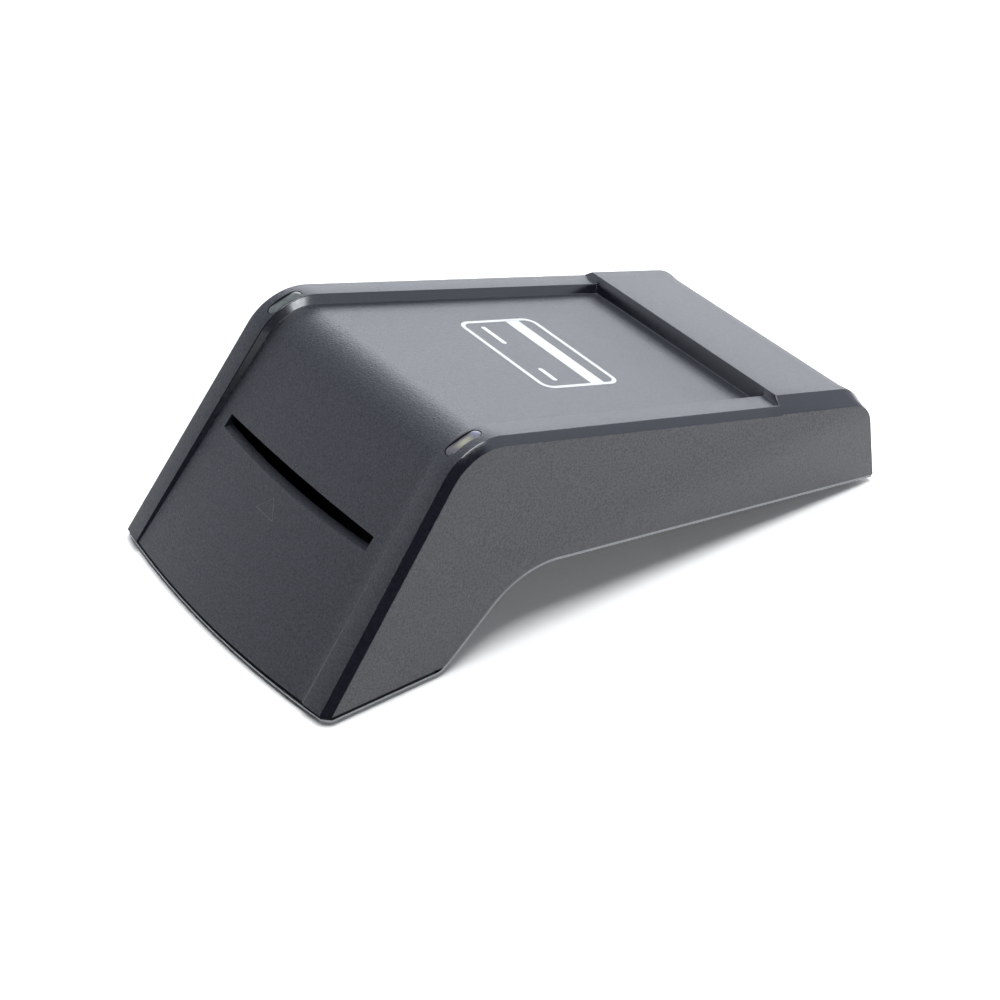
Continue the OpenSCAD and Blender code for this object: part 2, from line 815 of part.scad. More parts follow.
// Antenna board with two ears in front that carry the status lights
module antenna_board() {
    ear = window_x + led_l * 0.6;
    ear_l = led_l * 3;
    half = antenna_w / 2;
    placed()
        color([0.1, 0.32, 0.18])
            under_top()
                difference() {
                    translate([0, antenna_start, antenna_level - antenna_t])
                        linear_extrude(height = antenna_t)
                            polygon([[-ear, 0], [ear, 0], [ear, ear_l], [half, ear_l], [half, antenna_l],
                                [-half, antenna_l], [-half, ear_l], [-ear, ear_l]]);
                    both_sides()
                        for (place = antenna_screw_places)
                            translate([place[0], place[1], antenna_level - antenna_t - eps])
                                cylinder(r = board_screw_r * 1.15, h = antenna_t + 2 * eps);
                }
}

// Flat spiral of the antenna, running inwards round the board
module antenna_coil() {
    turns = 4;
    pitch = trace_w * 1.75;
    half_x = antenna_w * 0.4;
    half_s = antenna_l * 0.4;
    path = [for (k = [0:4 * turns])
        let (t = floor(k / 4), q = k % 4)
        [q == 0 ? pitch * max(t - 1, 0) - half_x : (q == 3 ? -1 : 1) * (half_x - pitch * t),
            (q < 2 ? -1 : 1) * (half_s - pitch * t)]];
    placed()
        color([0.8, 0.5, 0.25])
            under_top()
                translate([0, antenna_start + antenna_l / 2, antenna_level])
                    linear_extrude(height = trace_t)
                        polygon(ribbon(path, trace_w));
}

// Ferrite sheet that lies under the antenna board
module ferrite_sheet() {
    half = antenna_w * 0.4;
    level = antenna_level - antenna_t;
    placed()
        color([0.2, 0.2, 0.22])
            under_top()
                box([-half, antenna_start + antenna_l * 0.1, level - ferrite_t],
                    [half, ferrite_end - antenna_l * 0.1, level]);
}

// Main board: wide under the contact unit, with a narrow tail that reaches the rear end
module main_board() {
    half = board_w / 2;
    tail = board_tail_w / 2;
    slant = half - tail;
    placed()
        color([0.1, 0.35, 0.2])
            on_main()
                difference() {
                    translate([0, 0, -board_t])
                        linear_extrude(height = board_t)
                            polygon([[-half, 0], [half, 0], [half, board_neck], [tail, board_neck + slant / 2],
                                [tail, board_l], [-tail, board_l], [-tail, board_neck + slant / 2],
                                [-half, board_neck]]);
                    both_sides()
                        for (place = board_screw_places)
                            translate([place[0], place[1], -board_t - eps])
                                cylinder(r = board_screw_r * 1.15, h = board_t + 2 * eps);
                }
}

// Pan screws of the two boards, all alike
module board_screw() {
    head_r = board_screw_r * 1.8;
    head_h = board_screw_r * 1.2;
    difference() {
        union() {
            cylinder(r = head_r, h = head_h);
            translate([0, 0, -board_screw_l])
                cylinder(r = board_screw_r, h = board_screw_l);
        }
        for (turn = [0, 90])
            rotate([0, 0, turn])
                box([-head_r * 0.6, -head_r * 0.12, head_h * 0.5], [head_r * 0.6, head_r * 0.12, head_h + eps]);
    }
}

module board_screws() {
    placed()
        color([0.75, 0.75, 0.77]) {
            on_main()
                both_sides()
                    for (place = board_screw_places)
                        translate(concat(place, 0))
                            board_screw();
            under_top()
                both_sides()
                    for (place = antenna_screw_places)
                        translate([place[0], place[1], antenna_level - antenna_t])
                            mirror([0, 0, 1])
                                board_screw();
        }
}

// Sloping track for a carriage peg, as an outline of u and w
function track_outline(u) =
    stadium([unit_u + u, peg_level], [unit_u + u + carriage_travel, peg_level - carriage_drop],
        peg_r + peg_play);

// Frame of the contact unit: side bars, floor and stop wall round the card's channel
module connector_base() {
    half = unit_w / 2;
    inner = channel_w / 2;
    stop = unit_u + stop_u;
    end = unit_u + unit_l;
    peg_reach = inner + side_bar * 0.7;
    placed()
        color([0.12, 0.12, 0.13])
            on_main() {
                difference() {
                    box([-half, unit_u, 0], [half, end, unit_h]);
                    box([-inner, unit_u - eps, channel_low], [inner, stop, unit_h + eps]);
                    // Lead-in at the mouth
                    translate([0, unit_u - eps, channel_low])
                        rotate([-30, 0, 0])
                            box([-inner, -card_t * 4, -card_t * 4], [inner, card_t * 3, 0]);
                    // Windows in the floor, one of them under the carriage's stop tab
                    for (side = [-1, 1])
                        translate([side * inner * 0.62, 0, -eps])
                            box([-inner * 0.24, unit_u + stop_u * 0.16, 0],
                                [inner * 0.24, unit_u + stop_u * 0.8, unit_h]);
                    box([-inner * 0.36, unit_u + stop_u * 0.82, -eps], [inner * 0.36, stop, unit_h]);
                    for (u = peg_us)
                        both_sides()
                            translate([inner - eps, 0, 0])
                                rotate([90, 0, 90])
                                    linear_extrude(height = peg_reach - inner + eps)
                                        polygon(track_outline(u));
                    // Pockets for the return springs
                    both_sides()
                        translate([spring_x, stop - eps, spring_level])
                            rotate([-90, 0, 0])
                                cylinder(r = spring_r * 1.4, h = spring_pocket + eps);
                    // Room for the detection lever, open to the card and to the rear
                    box([lever_x - lever_arm * 1.3, stop - eps, channel_low],
                        [lever_x + lever_pin_r * 4.2, end + eps, lever_w + lever_t + gap]);
                }
                translate([lever_x, unit_u + lever_u, channel_low - eps])
                    cylinder(r = lever_pin_r, h = lever_w + lever_t - channel_low);
            }
}

// Plate over the contact unit, with a wide window over the contacts
module connector_cover() {
    half = unit_w / 2;
    start = unit_u + unit_l * 0.2;
    end = unit_u + unit_l;
    rib = unit_w * 0.03;
    placed()
        color([0.14, 0.14, 0.15])
            on_main()
                difference() {
                    box([-half, start, unit_h], [half, end, unit_h + cover_t]);
                    for (side = [-1, 1])
                        box([side * half * 0.42 - half * 0.3, start + unit_l * 0.1, unit_h - eps],
                            [side * half * 0.42 + half * 0.3, end - unit_l * 0.28, unit_h + cover_t + eps]);
                    both_sides()
                        translate([half - rib * 1.5, end - rib * 1.5, unit_h - eps])
                            cylinder(r = rib * 0.8, h = cover_t + 2 * eps);
                }
}

// Sliding carriage that the card pushes back and that brings the contacts down onto it
module contact_carriage() {
    half = carriage_w / 2;
    start = unit_u + carriage_u;
    end = start + carriage_l;
    top = carriage_low + carriage_t;
    window = [contact_cols[0] - contact_w * 2, contact_cols[3] + contact_w * 2];
    tab = half * 0.3;
    reach = channel_w / 2 + side_bar * 0.55;
    placed()
        color([0.82, 0.82, 0.78])
            on_main() {
                difference() {
                    union() {
                        box([-half, start, carriage_low], [half, end, top]);
                        box([-tab, end - card_t * 2, channel_low + gap], [tab, end, carriage_low + eps]);
                    }
                    box([window[0], start + carriage_l * 0.12, carriage_low - eps],
                        [window[1], start + carriage_l * 0.66, top + eps]);
                    // Slits that hold the contact springs
                    for (x = contact_cols)
                        box([x - contact_w / 2 - eps, start + carriage_l * 0.03, anchor_w - contact_t],
                            [x + contact_w / 2 + eps, start + carriage_l * 0.75, anchor_w + contact_t]);
                    // Slots for the return springs
                    both_sides()
                        box([spring_x - spring_r * 1.5, end - spring_pocket, carriage_low - eps],
                            [spring_x + spring_r * 1.5, end + eps, top + eps]);
                    // Lightening pockets in the wings
                    both_sides()
                        box([half * 0.42, start + carriage_l * 0.14, carriage_low + carriage_t * 0.45],
                            [half * 0.86, start + carriage_l * 0.62, top + eps]);
                }
                both_sides()
                    for (u = peg_us)
                        translate([half - eps, unit_u + u, peg_level])
                            rotate([0, 90, 0])
                                cylinder(r = peg_r, h = reach - half + eps);
            }
}

// Side view path of a contact spring: held at one end, dipping to the card, curled up at the tip
function contact_path(tip, root) =
    let (run = root - tip, dip = card_top + carriage_drop + gap - anchor_w)
    [[root + run * 0.25, anchor_w], [root, anchor_w], [root - run * 0.3, anchor_w + dip * 0.35],
        [tip + run * 0.16, anchor_w + dip * 0.95], [tip, anchor_w + dip],
        [tip - run * 0.1, anchor_w + dip * 0.85], [tip - run * 0.18, anchor_w + dip * 0.4]];

module contact_springs() {
    start = unit_u + carriage_u;
    card_edge = start + carriage_l - card_t * 2;
    roots = [start + carriage_l * 0.66, start + carriage_l * 0.12];
    placed()
        color([0.85, 0.7, 0.35])
            on_main()
                for (row = [0, 1], x = contact_cols) {
                    tip = card_edge - contact_rows[row];
                    translate([x - contact_w / 2, 0, 0])
                        rotate([90, 0, 90])
                            linear_extrude(height = contact_w)
                                polygon(ribbon(contact_path(tip, roots[row]), contact_t));
                }
}

// Wound return spring: one unbroken tube with closed ends held in its pockets
function coil_ring(a, u, sides) =
    let (
        axis = [cos(a), 0, sin(a)],
        mid = axis * spring_r + [0, u, 0]
    )
    [for (k = [0:sides - 1])
        let (b = 360 * k / sides)
        mid + axis * spring_wire_r * cos(b) + [0, spring_wire_r * sin(b), 0]];

module coil_spring(length) {
    turns = 6;
    per_turn = 10;
    sides = 5;
    count = turns * per_turn;
    run = length - 2 * spring_wire_r;
    rings = [for (i = [0:count]) coil_ring(360 * i / per_turn, spring_wire_r + run * i / count, sides)];
    polyhedron(
        points = [for (ring = rings, p = ring) p],
        faces = concat(
            [for (i = [0:count - 1], k = [0:sides - 1])
                let (a = i * sides + k, b = i * sides + (k + 1) % sides)
                each [[a, a + sides, b], [b, a + sides, b + sides]]],
            [[for (k = [0:sides - 1]) k]],
            [[for (k = [sides - 1:-1:0]) count * sides + k]]
        ),
        convexity = 8
    );
}

module return_springs() {
    start = unit_u + carriage_u + carriage_l - spring_pocket;
    end = unit_u + stop_u + spring_pocket;
    placed()
        color([0.7, 0.7, 0.72])
            on_main()
                both_sides()
                    translate([spring_x, start, spring_level])
                        coil_spring(end - start);
}

// Lever that the card's edge swings at the end of its way in
module detect_lever() {
    hub_r = lever_pin_r * 2;
    nose = lever_arm * 0.45;
    placed()
        color([0.8, 0.78, 0.7])
            on_main()
                translate([lever_x, unit_u + lever_u, lever_w])
                    difference() {
                        union() {
                            cylinder(r = hub_r, h = lever_t);
                            box([-lever_arm, -hub_r * 0.3, 0], [0, hub_r * 0.55, lever_t]);
                            linear_extrude(height = lever_t)
                                polygon([[-lever_arm, hub_r * 0.55], [-lever_arm, -lever_u + stop_u - nose * 0.7],
                                    [-lever_arm * 0.88, -lever_u + stop_u - nose],
                                    [-lever_arm * 0.7, -hub_r * 0.3]]);
                            box([-lever_pin_r, 0, 0], [lever_pin_r, lever_tail, lever_t]);
                        }
                        translate([0, 0, -eps])
                            cylinder(r = lever_pin_r + peg_play, h = lever_t + 2 * eps);
                    }
}

// Small switch on the main board, beside the lever's tail
module detect_switch() {
    side = lever_x + lever_pin_r + lever_tail * sin(lever_swing) + gap;
    start = unit_u + unit_l + gap;
    tall = lever_w + lever_t;
    placed()
        color([0.1, 0.1, 0.1])
            on_main() {
                box([side + card_t, start, 0], [side + card_t * 7, start + lever_tail * 0.8, tall]);
                box([side, start + lever_tail * 0.12, tall * 0.6],
                    [side + card_t + eps, start + lever_tail * 0.3, tall * 0.95]);
            }
}

// Flat cable between the two boards, bent once between them
module antenna_cable() {
    low = on_board(cable_u, socket_h * 0.5);
    out = on_board(cable_u + socket_h, socket_h * 0.5);
    back = on_top(ferrite_end - antenna_l * 0.04, antenna_level - antenna_t - cable_t / 2);
    bend_r = (cable_end[1] - out[1]) / 2;
    bend = arc_points([cable_end[0] + cable_t * 2, (cable_end[1] + out[1]) / 2], bend_r, -90, 90, 10);
    placed()
        color([0.85, 0.6, 0.25])
            across(cable_w / 2)
                polygon(ribbon(concat([low, out], bend, [cable_end, back]), cable_t));
}

module cable_socket() {
    half = cable_w * 0.62;
    placed()
        color([0.85, 0.83, 0.76])
            on_main()
                difference() {
                    box([-half, cable_u - socket_h * 1.2, 0], [half, cable_u + socket_h * 0.7, socket_h]);
                    box([-cable_w / 2 - eps, cable_u - eps, socket_h * 0.5 - cable_t * 0.6],
                        [cable_w / 2 + eps, cable_u + socket_h, socket_h * 0.5 + cable_t * 0.6]);
                }
}

// Chip with gull-wing pins on all four sides
module controller_chip() {
    half = board_tail_w * 0.12;
    tall = half * 0.28;
    pin = half * 0.1;
    pins = 8;
    placed()
        color([0.09, 0.09, 0.09])
            on_main()
                translate([0, tail_at(0.2), 0]) {
                    box([-half, -half, pin * 0.4], [half, half, tall]);
                    for (turn = [0:90:270], k = [0:pins - 1])
                        rotate([0, 0, turn])
                            translate([half, (k - (pins - 1) / 2) * pin * 2.2, 0]) {
                                box([-eps, -pin / 2, tall * 0.45], [pin * 1.2, pin / 2, tall * 0.6]);
                                box([pin * 0.8, -pin / 2, 0], [pin * 1.2, pin / 2, tall * 0.5]);
                                box([pin * 0.8, -pin / 2, 0], [pin * 2.6, pin / 2, pin * 0.4]);
                            }
                }
}

module radio_chip() {
    half = board_tail_w * 0.075;
    placed()
        color([0.08, 0.08, 0.09])
            on_main()
                translate([board_tail_w * 0.28, tail_at(0.52), 0])
                    difference() {
                        box([-half, -half, 0], [half, half, half * 0.3]);
                        translate([-half * 0.6, -half * 0.6, half * 0.27])
                            cylinder(r = half * 0.1, h = half);
                    }
}

module crystal() {
    r = board_tail_w * 0.042;
    placed()
        color([0.8, 0.8, 0.82])
            on_main()
                translate([-board_tail_w * 0.3, tail_at(0.2), 0]) {
                    linear_extrude(height = r * 0.4)
                        polygon(stadium([0, -r * 1.6], [0, r * 1.6], r * 1.12));
                    linear_extrude(height = r * 1.9)
                        polygon(stadium([0, -r * 1.6], [0, r * 1.6], r));
                }
}

module buzzer() {
    r = board_tail_w * 0.11;
    placed()
        color([0.1, 0.1, 0.1])
            on_main()
                translate([-board_tail_w * 0.3, tail_at(0.57), 0])
                    difference() {
                        cylinder(r = r, h = r * 0.95);
                        translate([0, 0, r * 0.7])
                            cylinder(r = r * 0.2, h = r);
                    }
}

// Metal mouth of the cable socket, with its blank rear face inside the housing
function usb_outline(inset) =
    stadium([-(usb_w - usb_h) / 2, 0], [(usb_w - usb_h) / 2, 0], usb_h / 2 - inset);

module at_usb() {
    on_main()
        translate([0, board_l + wall * 1.3, usb_h / 2])
            rotate([90, 0, 0])
                children();
}

module usb_shell() {
    placed()
        color([0.75, 0.75, 0.77])
            at_usb()
                difference() {
                    linear_extrude(height = usb_l)
                        polygon(usb_outline(0));
                    translate([0, 0, -eps])
                        linear_extrude(height = usb_l - usb_t + eps)
                            polygon(usb_outline(usb_t));
                }
}

module usb_tongue() {
    thick = usb_h * 0.21;
    placed()
        color([0.1, 0.1, 0.1])
            at_usb() {
                box([-usb_w * 0.37, -thick / 2, usb_t * 3], [usb_w * 0.37, thick / 2, usb_l - usb_t]);
                translate([0, 0, usb_l * 0.82])
                    linear_extrude(height = usb_l * 0.18 - usb_t)
                        polygon(usb_outline(usb_t + eps));
            }
}

upper_shell();
lower_shell();
light_guide_left();
light_guide_right();
main_board();
connector_base();
connector_cover();
contact_carriage();
contact_springs();
return_springs();
detect_lever();
detect_switch();
antenna_board();
antenna_coil();
ferrite_sheet();
led_left();
led_right();
antenna_cable();
cable_socket();
controller_chip();
radio_chip();
crystal();
buzzer();
usb_shell();
usb_tongue();
case_screws();
board_screws();
foot_front_left();
foot_front_right();
foot_rear_left();
foot_rear_right();
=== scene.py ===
import math
import bmesh
import bpy
import numpy as np
from mathutils import Matrix, Vector


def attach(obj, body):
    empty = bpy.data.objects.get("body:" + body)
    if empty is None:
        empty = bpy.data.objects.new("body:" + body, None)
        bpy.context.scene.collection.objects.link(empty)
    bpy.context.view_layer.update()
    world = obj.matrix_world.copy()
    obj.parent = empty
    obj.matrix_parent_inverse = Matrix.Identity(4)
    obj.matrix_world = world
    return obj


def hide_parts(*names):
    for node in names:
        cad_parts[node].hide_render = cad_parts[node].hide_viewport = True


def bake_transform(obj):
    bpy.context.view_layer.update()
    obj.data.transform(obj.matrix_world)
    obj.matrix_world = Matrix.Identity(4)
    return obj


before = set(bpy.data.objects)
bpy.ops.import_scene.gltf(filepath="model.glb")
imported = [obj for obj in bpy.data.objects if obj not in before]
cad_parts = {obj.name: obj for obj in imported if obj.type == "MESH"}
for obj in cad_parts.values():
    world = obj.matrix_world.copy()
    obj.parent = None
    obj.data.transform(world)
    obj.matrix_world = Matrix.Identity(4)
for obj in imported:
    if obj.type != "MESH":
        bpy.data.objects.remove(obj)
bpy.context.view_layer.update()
BODY = "reader"
MM = 0.001

# Sizes in millimetres, angles in radians. The side view has y from front to rear and z up.
# Housing
FRONT_W = 83.6
BODY_L = 152.5
CORNER_H = 53.9  # height at which the slope and the top would meet
FRONT_ANGLE = math.radians(53.8)
TOP_ANGLE = math.radians(15.5)
CORNER_R = 14.0
SEAM_H = 2.6
REAR_SEAM_H = 1.9
REAR_H = 25.3
REAR_LEAN = 3.4
LEAN = 0.03  # how much each side leans in, per height
TAPER = 0.03  # how much each side comes in towards the rear, per length
BEVEL_W = 1.8
BEVEL_H = 1.5
BULGE = 2.4  # how far the middle of the front stands out
WALL = 2.2
RAIL_W = 5.3
PANEL_DEPTH = 2.2
PANEL_FOOT = 0.35
SKIN_T = PANEL_DEPTH + WALL
WALL_DRAFT = 0.7
BLOCK_L = 27.5
BLOCK_RISE = 1.6
STEP_RUN = BLOCK_RISE / 4
REAR_EDGE_R = 11.0
REAR_SIDE_R = 7.0
EDGE_R = 0.35
EDGE_OVER = 24  # degrees between faces above which the shell's edges are rounded
SHARP_OVER = 28  # degrees between faces above which they aren't shaded smooth
# How far the side view runs on past the foot of the slope and of the rear end, and down between
SLOPE_ON, REAR_ON, MIDDLE_ON = SEAM_H * 3, SEAM_H * 4, SEAM_H * 6
ACROSS = 80  # how far a tool that cuts the whole width reaches to each side

# Foot and arch
FOOT_L = 30.0
RISER = math.radians(39.3)
ARCH_Y = 50.2
ARCH_R = 22.0
FOOT_EDGE_R = 3.0
HEEL_STEPS, ARCH_STEPS = 10, 40

# Card slot
SLOT_UP = 33.5
SLOT_W = 56.4
SLOT_SIDE = 0.7
SLOT_H = 2.8
SLOT_DIP = 0.8
SLOT_STEPS = 36
SLOT_OUT = SLOT_UP * 0.4  # how far its tool reaches out of the slope
SLOT_IN = 1.0  # and past the front edge of the main board
CARD_TILT = math.radians(5.0)
CARD_LEVEL = 3.7

# Light windows
WINDOW_W = 2.5
WINDOW_L = 8.6
WINDOW_UP = WINDOW_L * 0.06  # shift along the bend from its middle
WINDOW_ACROSS = 0.65  # share of the rail's width, from its outer edge
WINDOW_PLAY = 0.11
WINDOW_IN, WINDOW_OUT = SKIN_T * 2, WALL * 2  # reach of its tool
LENS_SINK = 0.03
LENS_SHARP_OVER = 40
# Rows of a light guide from its foot to its crown: inset of the outline, depth under the bend
LENS_ROWS = ((0.0, SKIN_T * 1.6), (0.0, 0.12), (0.08, 0.04), (0.2, 0.0), (0.45, -0.05),
             (0.9, -0.09), (1.2, -0.1))

# Sign on the panel, placed across and along the top
PRINT_AT = (-1.7, 49.0)
PRINT_W = 34.0
PRINT_SHAPE = 3.17 / 2  # width over height
PRINT_LINE = PRINT_W * 0.03
PRINT_T = 0.02
# Its band: level and half height, as shares of the sign's half height
BAND_UP, BAND_HALF = 0.42, 0.17
# Its bars: their level, and the place and half length of each as shares of the half width
BARS_DOWN = 0.5
BARS = ((-0.56, 0.26), (0.62, 0.18))

# Insertion mark
MARK_UP = 24.0
MARK_W = 7.0
MARK_TIP = MARK_W * 0.62
MARK_LEFT = MARK_W * 0.43
MARK_REACH = MARK_W * 0.6  # half width within which its faces lie
MARK_GROOVE = 0.25
MARK_SIDE_IN, MARK_TIP_IN = MARK_GROOVE * 2, MARK_GROOVE * 1.6
MARK_DEPTH = MARK_GROOVE * 0.3
MARK_LEVELS = (-1.3, -0.3)  # heights that count as the groove's floor and walls, per depth

# Cable inlet
INLET_HALF_RUN = 2.84
INLET_R = 1.63
INLET_PLAY = 0.44
INLET_LEVEL = 1.74
INLET_REACH = WALL * 5

# Base
RIM_INSET = 0.3
LIP_INSET = 1.1
FOOT_SEAM = 1.0
SIDE_SEAM = 0.12
FOOT_RIM = 1.45
BASE_RIM = 0.8
BASE_EDGE_R = 0.12
BASE_EDGE_OVER = 40
FLOOR_T = 1.6
BASE_PLAY = 0.25
LAYER_TOP = WALL * 3  # height of its layers over the arch
UPRIGHT_BELOW = 0.8  # an upright face's normal points less than this up or down
FACES_DOWN = -0.5  # a face whose normal points further down belongs to the underside
RECESS_PLAY = 0.11
SCREW_HEAD_R, SCREW_HEAD_H = 2.6, 1.3
SCREW_R = 1.3
SCREW_PLACES = ((21.736, 13.5), (28.006, 128.1))
SCREW_RING_WALL = WALL * 0.6
SCREW_RING_H = WALL * 0.7
SCREW_SEAT_PLAY = WALL * 0.4
WAY_H = 1.5  # height of a screw's way, per height of the arch
PAD_R = 4.5
PAD_SINK = 0.7
PAD_PLACES = ((32.186, 9.0), (27.588, 144.112))
POST_PLACES = ((33.315, 6.48), (33.315, 46.44), (16.8, 110.847))
POST_R = 2.0
POST_REACH = WALL * 8
BOARD_T = 1.6
BOARD_FRONT = 0.75  # where the main board starts, per run of the slope
BOARD_END = WALL * 3.2  # what it leaves free before the rear

# Return springs, with the ends of their axis at rest as y and z in the frame
SPRING_X, SPRING_R, SPRING_WIRE_R, SPRING_TURNS = 14.0, 0.95, 0.15, 6
SPRING_FRONT, SPRING_REAR = (-5.183, 28.007), (5.960, 27.032)
TURN_STEPS, WIRE_SIDES = 24, 8

# Steps of a side view along the rise, the bend, the top and the rear edge
FINE_STEPS = (14, 28, 16, 12)
COARSE_STEPS = (1, 10, 1, 4)
# Steps across the width from the middle to a side
OUTER_COLUMNS, INNER_COLUMNS, BASE_COLUMNS = 12, 8, 16

# Places in the lists of materials of the shell and of the base
SMOOTH, MARK_HIGHLIGHT = 1, 2
# The base's second material is a painted reflection of the floor, its third a painted shade of the
# seam
PLAIN, RIM_REFLECTION, LIP_SHADE = 0, 1, 2

# Camera
FOCAL_LENGTH = 92.07
SENSOR_W = 36.0
CLIP = (0.01, 20)
CAMERA_AT = (0.38480, -0.28087, 0.32961)
CAMERA_FORWARD = (-0.66810, 0.48483, -0.56443)
CAMERA_RIGHT = (0.58097, 0.81382, 0.01136)

# Lights: name, place, target, size, power
COOL = (0.92, 0.96, 1.0)
LAMPS = (
    ("top_light", (0.12, 0.02, 1.12), (0, 0, 0), (0.8, 0.7), 9.5),
    ("back_light", (-0.95, 1.0, 0.46), (0, 0, 0.02), (1.5, 0.5), 9.5),
    ("right_light", (1.15, 0.35, 0.40), (0, 0, 0.05), (0.32, 0.18), 1.8),
)
AMBIENT = (0.15, 0.16, 0.18)
BACKDROP = (0.78, 0.83, 0.94)
WHITE = (1, 1, 1)
FLOOR_WHITE = (0.92, 0.92, 0.92)
FLOOR_SEEN = (1.85, 1.80, 1.74)
FLOOR_REACH = 3
DARK_SIDE = (0.03, 0.032, 0.04)
DARK_TOWARD = (0.45, -0.62, 0.65)
DARK_FROM, DARK_TO = 0.32, 0.7

# Surface detail
NOISE_DETAIL = 4.0
RAMP_FROM, RAMP_TO = 0.35, 0.65
ROUGH_SPREAD = 0.06
GRAIN_FROM, GRAIN_TO = 0.3, 0.7
BUMP_DEPTH = 0.0001
SPOT_CORE = 0.1  # share of a patch's radius that has its full colour


def v2(a, b):
    """Point or vector of the side view."""
    return np.array([a, b], float)


def direction(angle):
    """Unit vector at an angle from the first axis."""
    return v2(math.cos(angle), math.sin(angle))


def cross(a, b):
    """Signed area between two vectors."""
    return a[0] * b[1] - a[1] * b[0]


def meet(p, d, q, e):
    """Where the line through p along d meets the line through q along e."""
    return p + d * (cross(q - p, e) / cross(d, e))


SLOPE_DIR = direction(FRONT_ANGLE)
SLOPE_OUT = v2(-math.sin(FRONT_ANGLE), math.cos(FRONT_ANGLE))
TOP_DIR = v2(math.cos(TOP_ANGLE), -math.sin(TOP_ANGLE))
TOP_OUT = v2(math.sin(TOP_ANGLE), math.cos(TOP_ANGLE))
CORNER = v2((CORNER_H - SEAM_H) / math.tan(FRONT_ANGLE), CORNER_H)
SLOPE_L = (CORNER_H - SEAM_H) / math.sin(FRONT_ANGLE)
HALF_W = FRONT_W / 2 + LEAN * SEAM_H
RAIL_OUT = HALF_W - BEVEL_W
BLOCK_START = (BODY_L - REAR_LEAN - CORNER[0]) / math.cos(TOP_ANGLE) - BLOCK_L
MID_Y = (BODY_L - BULGE / math.sin(FRONT_ANGLE)) / 2
REAR_SLANT = math.atan(REAR_LEAN / (REAR_H - REAR_SEAM_H))
REAR_DIR = v2(-math.sin(REAR_SLANT), math.cos(REAR_SLANT))
REAR_OUT = direction(REAR_SLANT)
REAR_FOOT = v2(BODY_L, REAR_SEAM_H)
ARCH_H = SEAM_H + (ARCH_Y - FOOT_L) * math.tan(RISER)
UNDER = math.atan((ARCH_H - REAR_SEAM_H) / (BODY_L - ARCH_Y))


def on_top(s, n):
    """Side view point s along the top from the corner and n above it."""
    return CORNER + TOP_DIR * s + TOP_OUT * n


def on_slope(s, n):
    """Side view point s up the slope from the seam and n out from it."""
    return v2(0, SEAM_H) + SLOPE_DIR * s + SLOPE_OUT * n


def side_at(p):
    """Half the housing's width at a side view point."""
    return HALF_W - TAPER * p[0] - LEAN * p[1]


BEND_ANGLE = math.pi / 2 + (FRONT_ANGLE - TOP_ANGLE) / 2
BEND_CENTRE = meet(on_slope(0, -CORNER_R), SLOPE_DIR, on_top(0, -CORNER_R), TOP_DIR)
BEND_MID = BEND_CENTRE + CORNER_R * direction(BEND_ANGLE)
WINDOW_X = side_at(BEND_MID) - BEVEL_W - RAIL_W * WINDOW_ACROSS
SLOT_AT = on_slope(SLOT_UP, 0)
BOARD_Y = CORNER[0] * BOARD_FRONT
BOARD_Z = (SLOT_AT[1] - (BOARD_Y - SLOT_AT[0]) * math.tan(CARD_TILT)
           - CARD_LEVEL / math.cos(CARD_TILT))
BOARD_L = (BODY_L - BOARD_END - BOARD_Y) / math.cos(CARD_TILT)

# Painted glow in the right window: patches of pale colour for the light inside the guide shining
# through it; place, stretch, radius in metres, colour
LENS_GLOW_SPOTS = (
    ((WINDOW_X + 0.35, WINDOW_L * 0.08), (2.0, 1, 1), 0.0030, (0.50, 0.49, 0.36)),
    ((WINDOW_X, WINDOW_L * 0.44), (1, 1, 1), 0.0015, (0.26, 0.27, 0.37)),
)


# Mesh helpers
def place(x, p):
    """A point of the side view at x, in the frame's metres."""
    return (x * MM, (p[0] - MID_Y) * MM, p[1] * MM)


def finish_mesh(mesh, smooth):
    """Faces turned outwards and smooth, with edges sharp above an angle in degrees."""
    bm = bmesh.new()
    bm.from_mesh(mesh)
    bmesh.ops.recalc_face_normals(bm, faces=bm.faces)
    bm.to_mesh(mesh)
    bm.free()
    mesh.polygons.foreach_set("use_smooth", [smooth > 0] * len(mesh.polygons))
    if smooth > 0:
        mesh.set_sharp_from_angle(angle=math.radians(smooth))
    mesh.update()


def new_object(name, verts, faces, smooth=30):
    """Mesh object in the scene, shaded flat where smooth is 0."""
    mesh = bpy.data.meshes.new(name)
    mesh.from_pydata([tuple(v) for v in verts], [], [tuple(f) for f in faces])
    mesh.validate()
    finish_mesh(mesh, smooth)
    obj = bpy.data.objects.new(name, mesh)
    bpy.context.collection.objects.link(obj)
    return obj


def tube_faces(first, rings, count):
    """Faces of a closed tube of equal rings, and its two ends."""
    faces = []
    for i in range(rings - 1):
        for k in range(count):
            a, b = first + i * count + k, first + i * count + (k + 1) % count
            faces.append((a, b, b + count, a + count))
    last = first + (rings - 1) * count
    return faces + [tuple(range(first, first + count)), tuple(range(last, last + count))]


def loft(name, rings):
    """Closed body through equal rings of points."""
    verts = [p for ring in rings for p in ring]
    faces = tube_faces(0, len(rings), len(rings[0]))
    faces[-1] = faces[-1][::-1]  # the two ends face apart
    return new_object(name, verts, faces)


def prism(name, outline):
    """Side view outline run across the whole width."""
    return loft(name, [[place(x, p) for p in outline] for x in (-ACROSS, ACROSS)])


def apply_all(obj):
    """Puts the object's modifiers into its mesh."""
    depsgraph = bpy.context.evaluated_depsgraph_get()
    mesh = bpy.data.meshes.new_from_object(obj.evaluated_get(depsgraph))
    old = obj.data
    obj.modifiers.clear()
    obj.data = mesh
    bpy.data.meshes.remove(old)


def cut(obj, tool, operation="DIFFERENCE"):
    """Boolean of the object with a tool, which is used up."""
    mod = obj.modifiers.new("cut", "BOOLEAN")
    mod.operation = operation
    mod.object = tool
    mod.solver = "EXACT"
    apply_all(obj)
    bpy.data.objects.remove(tool)


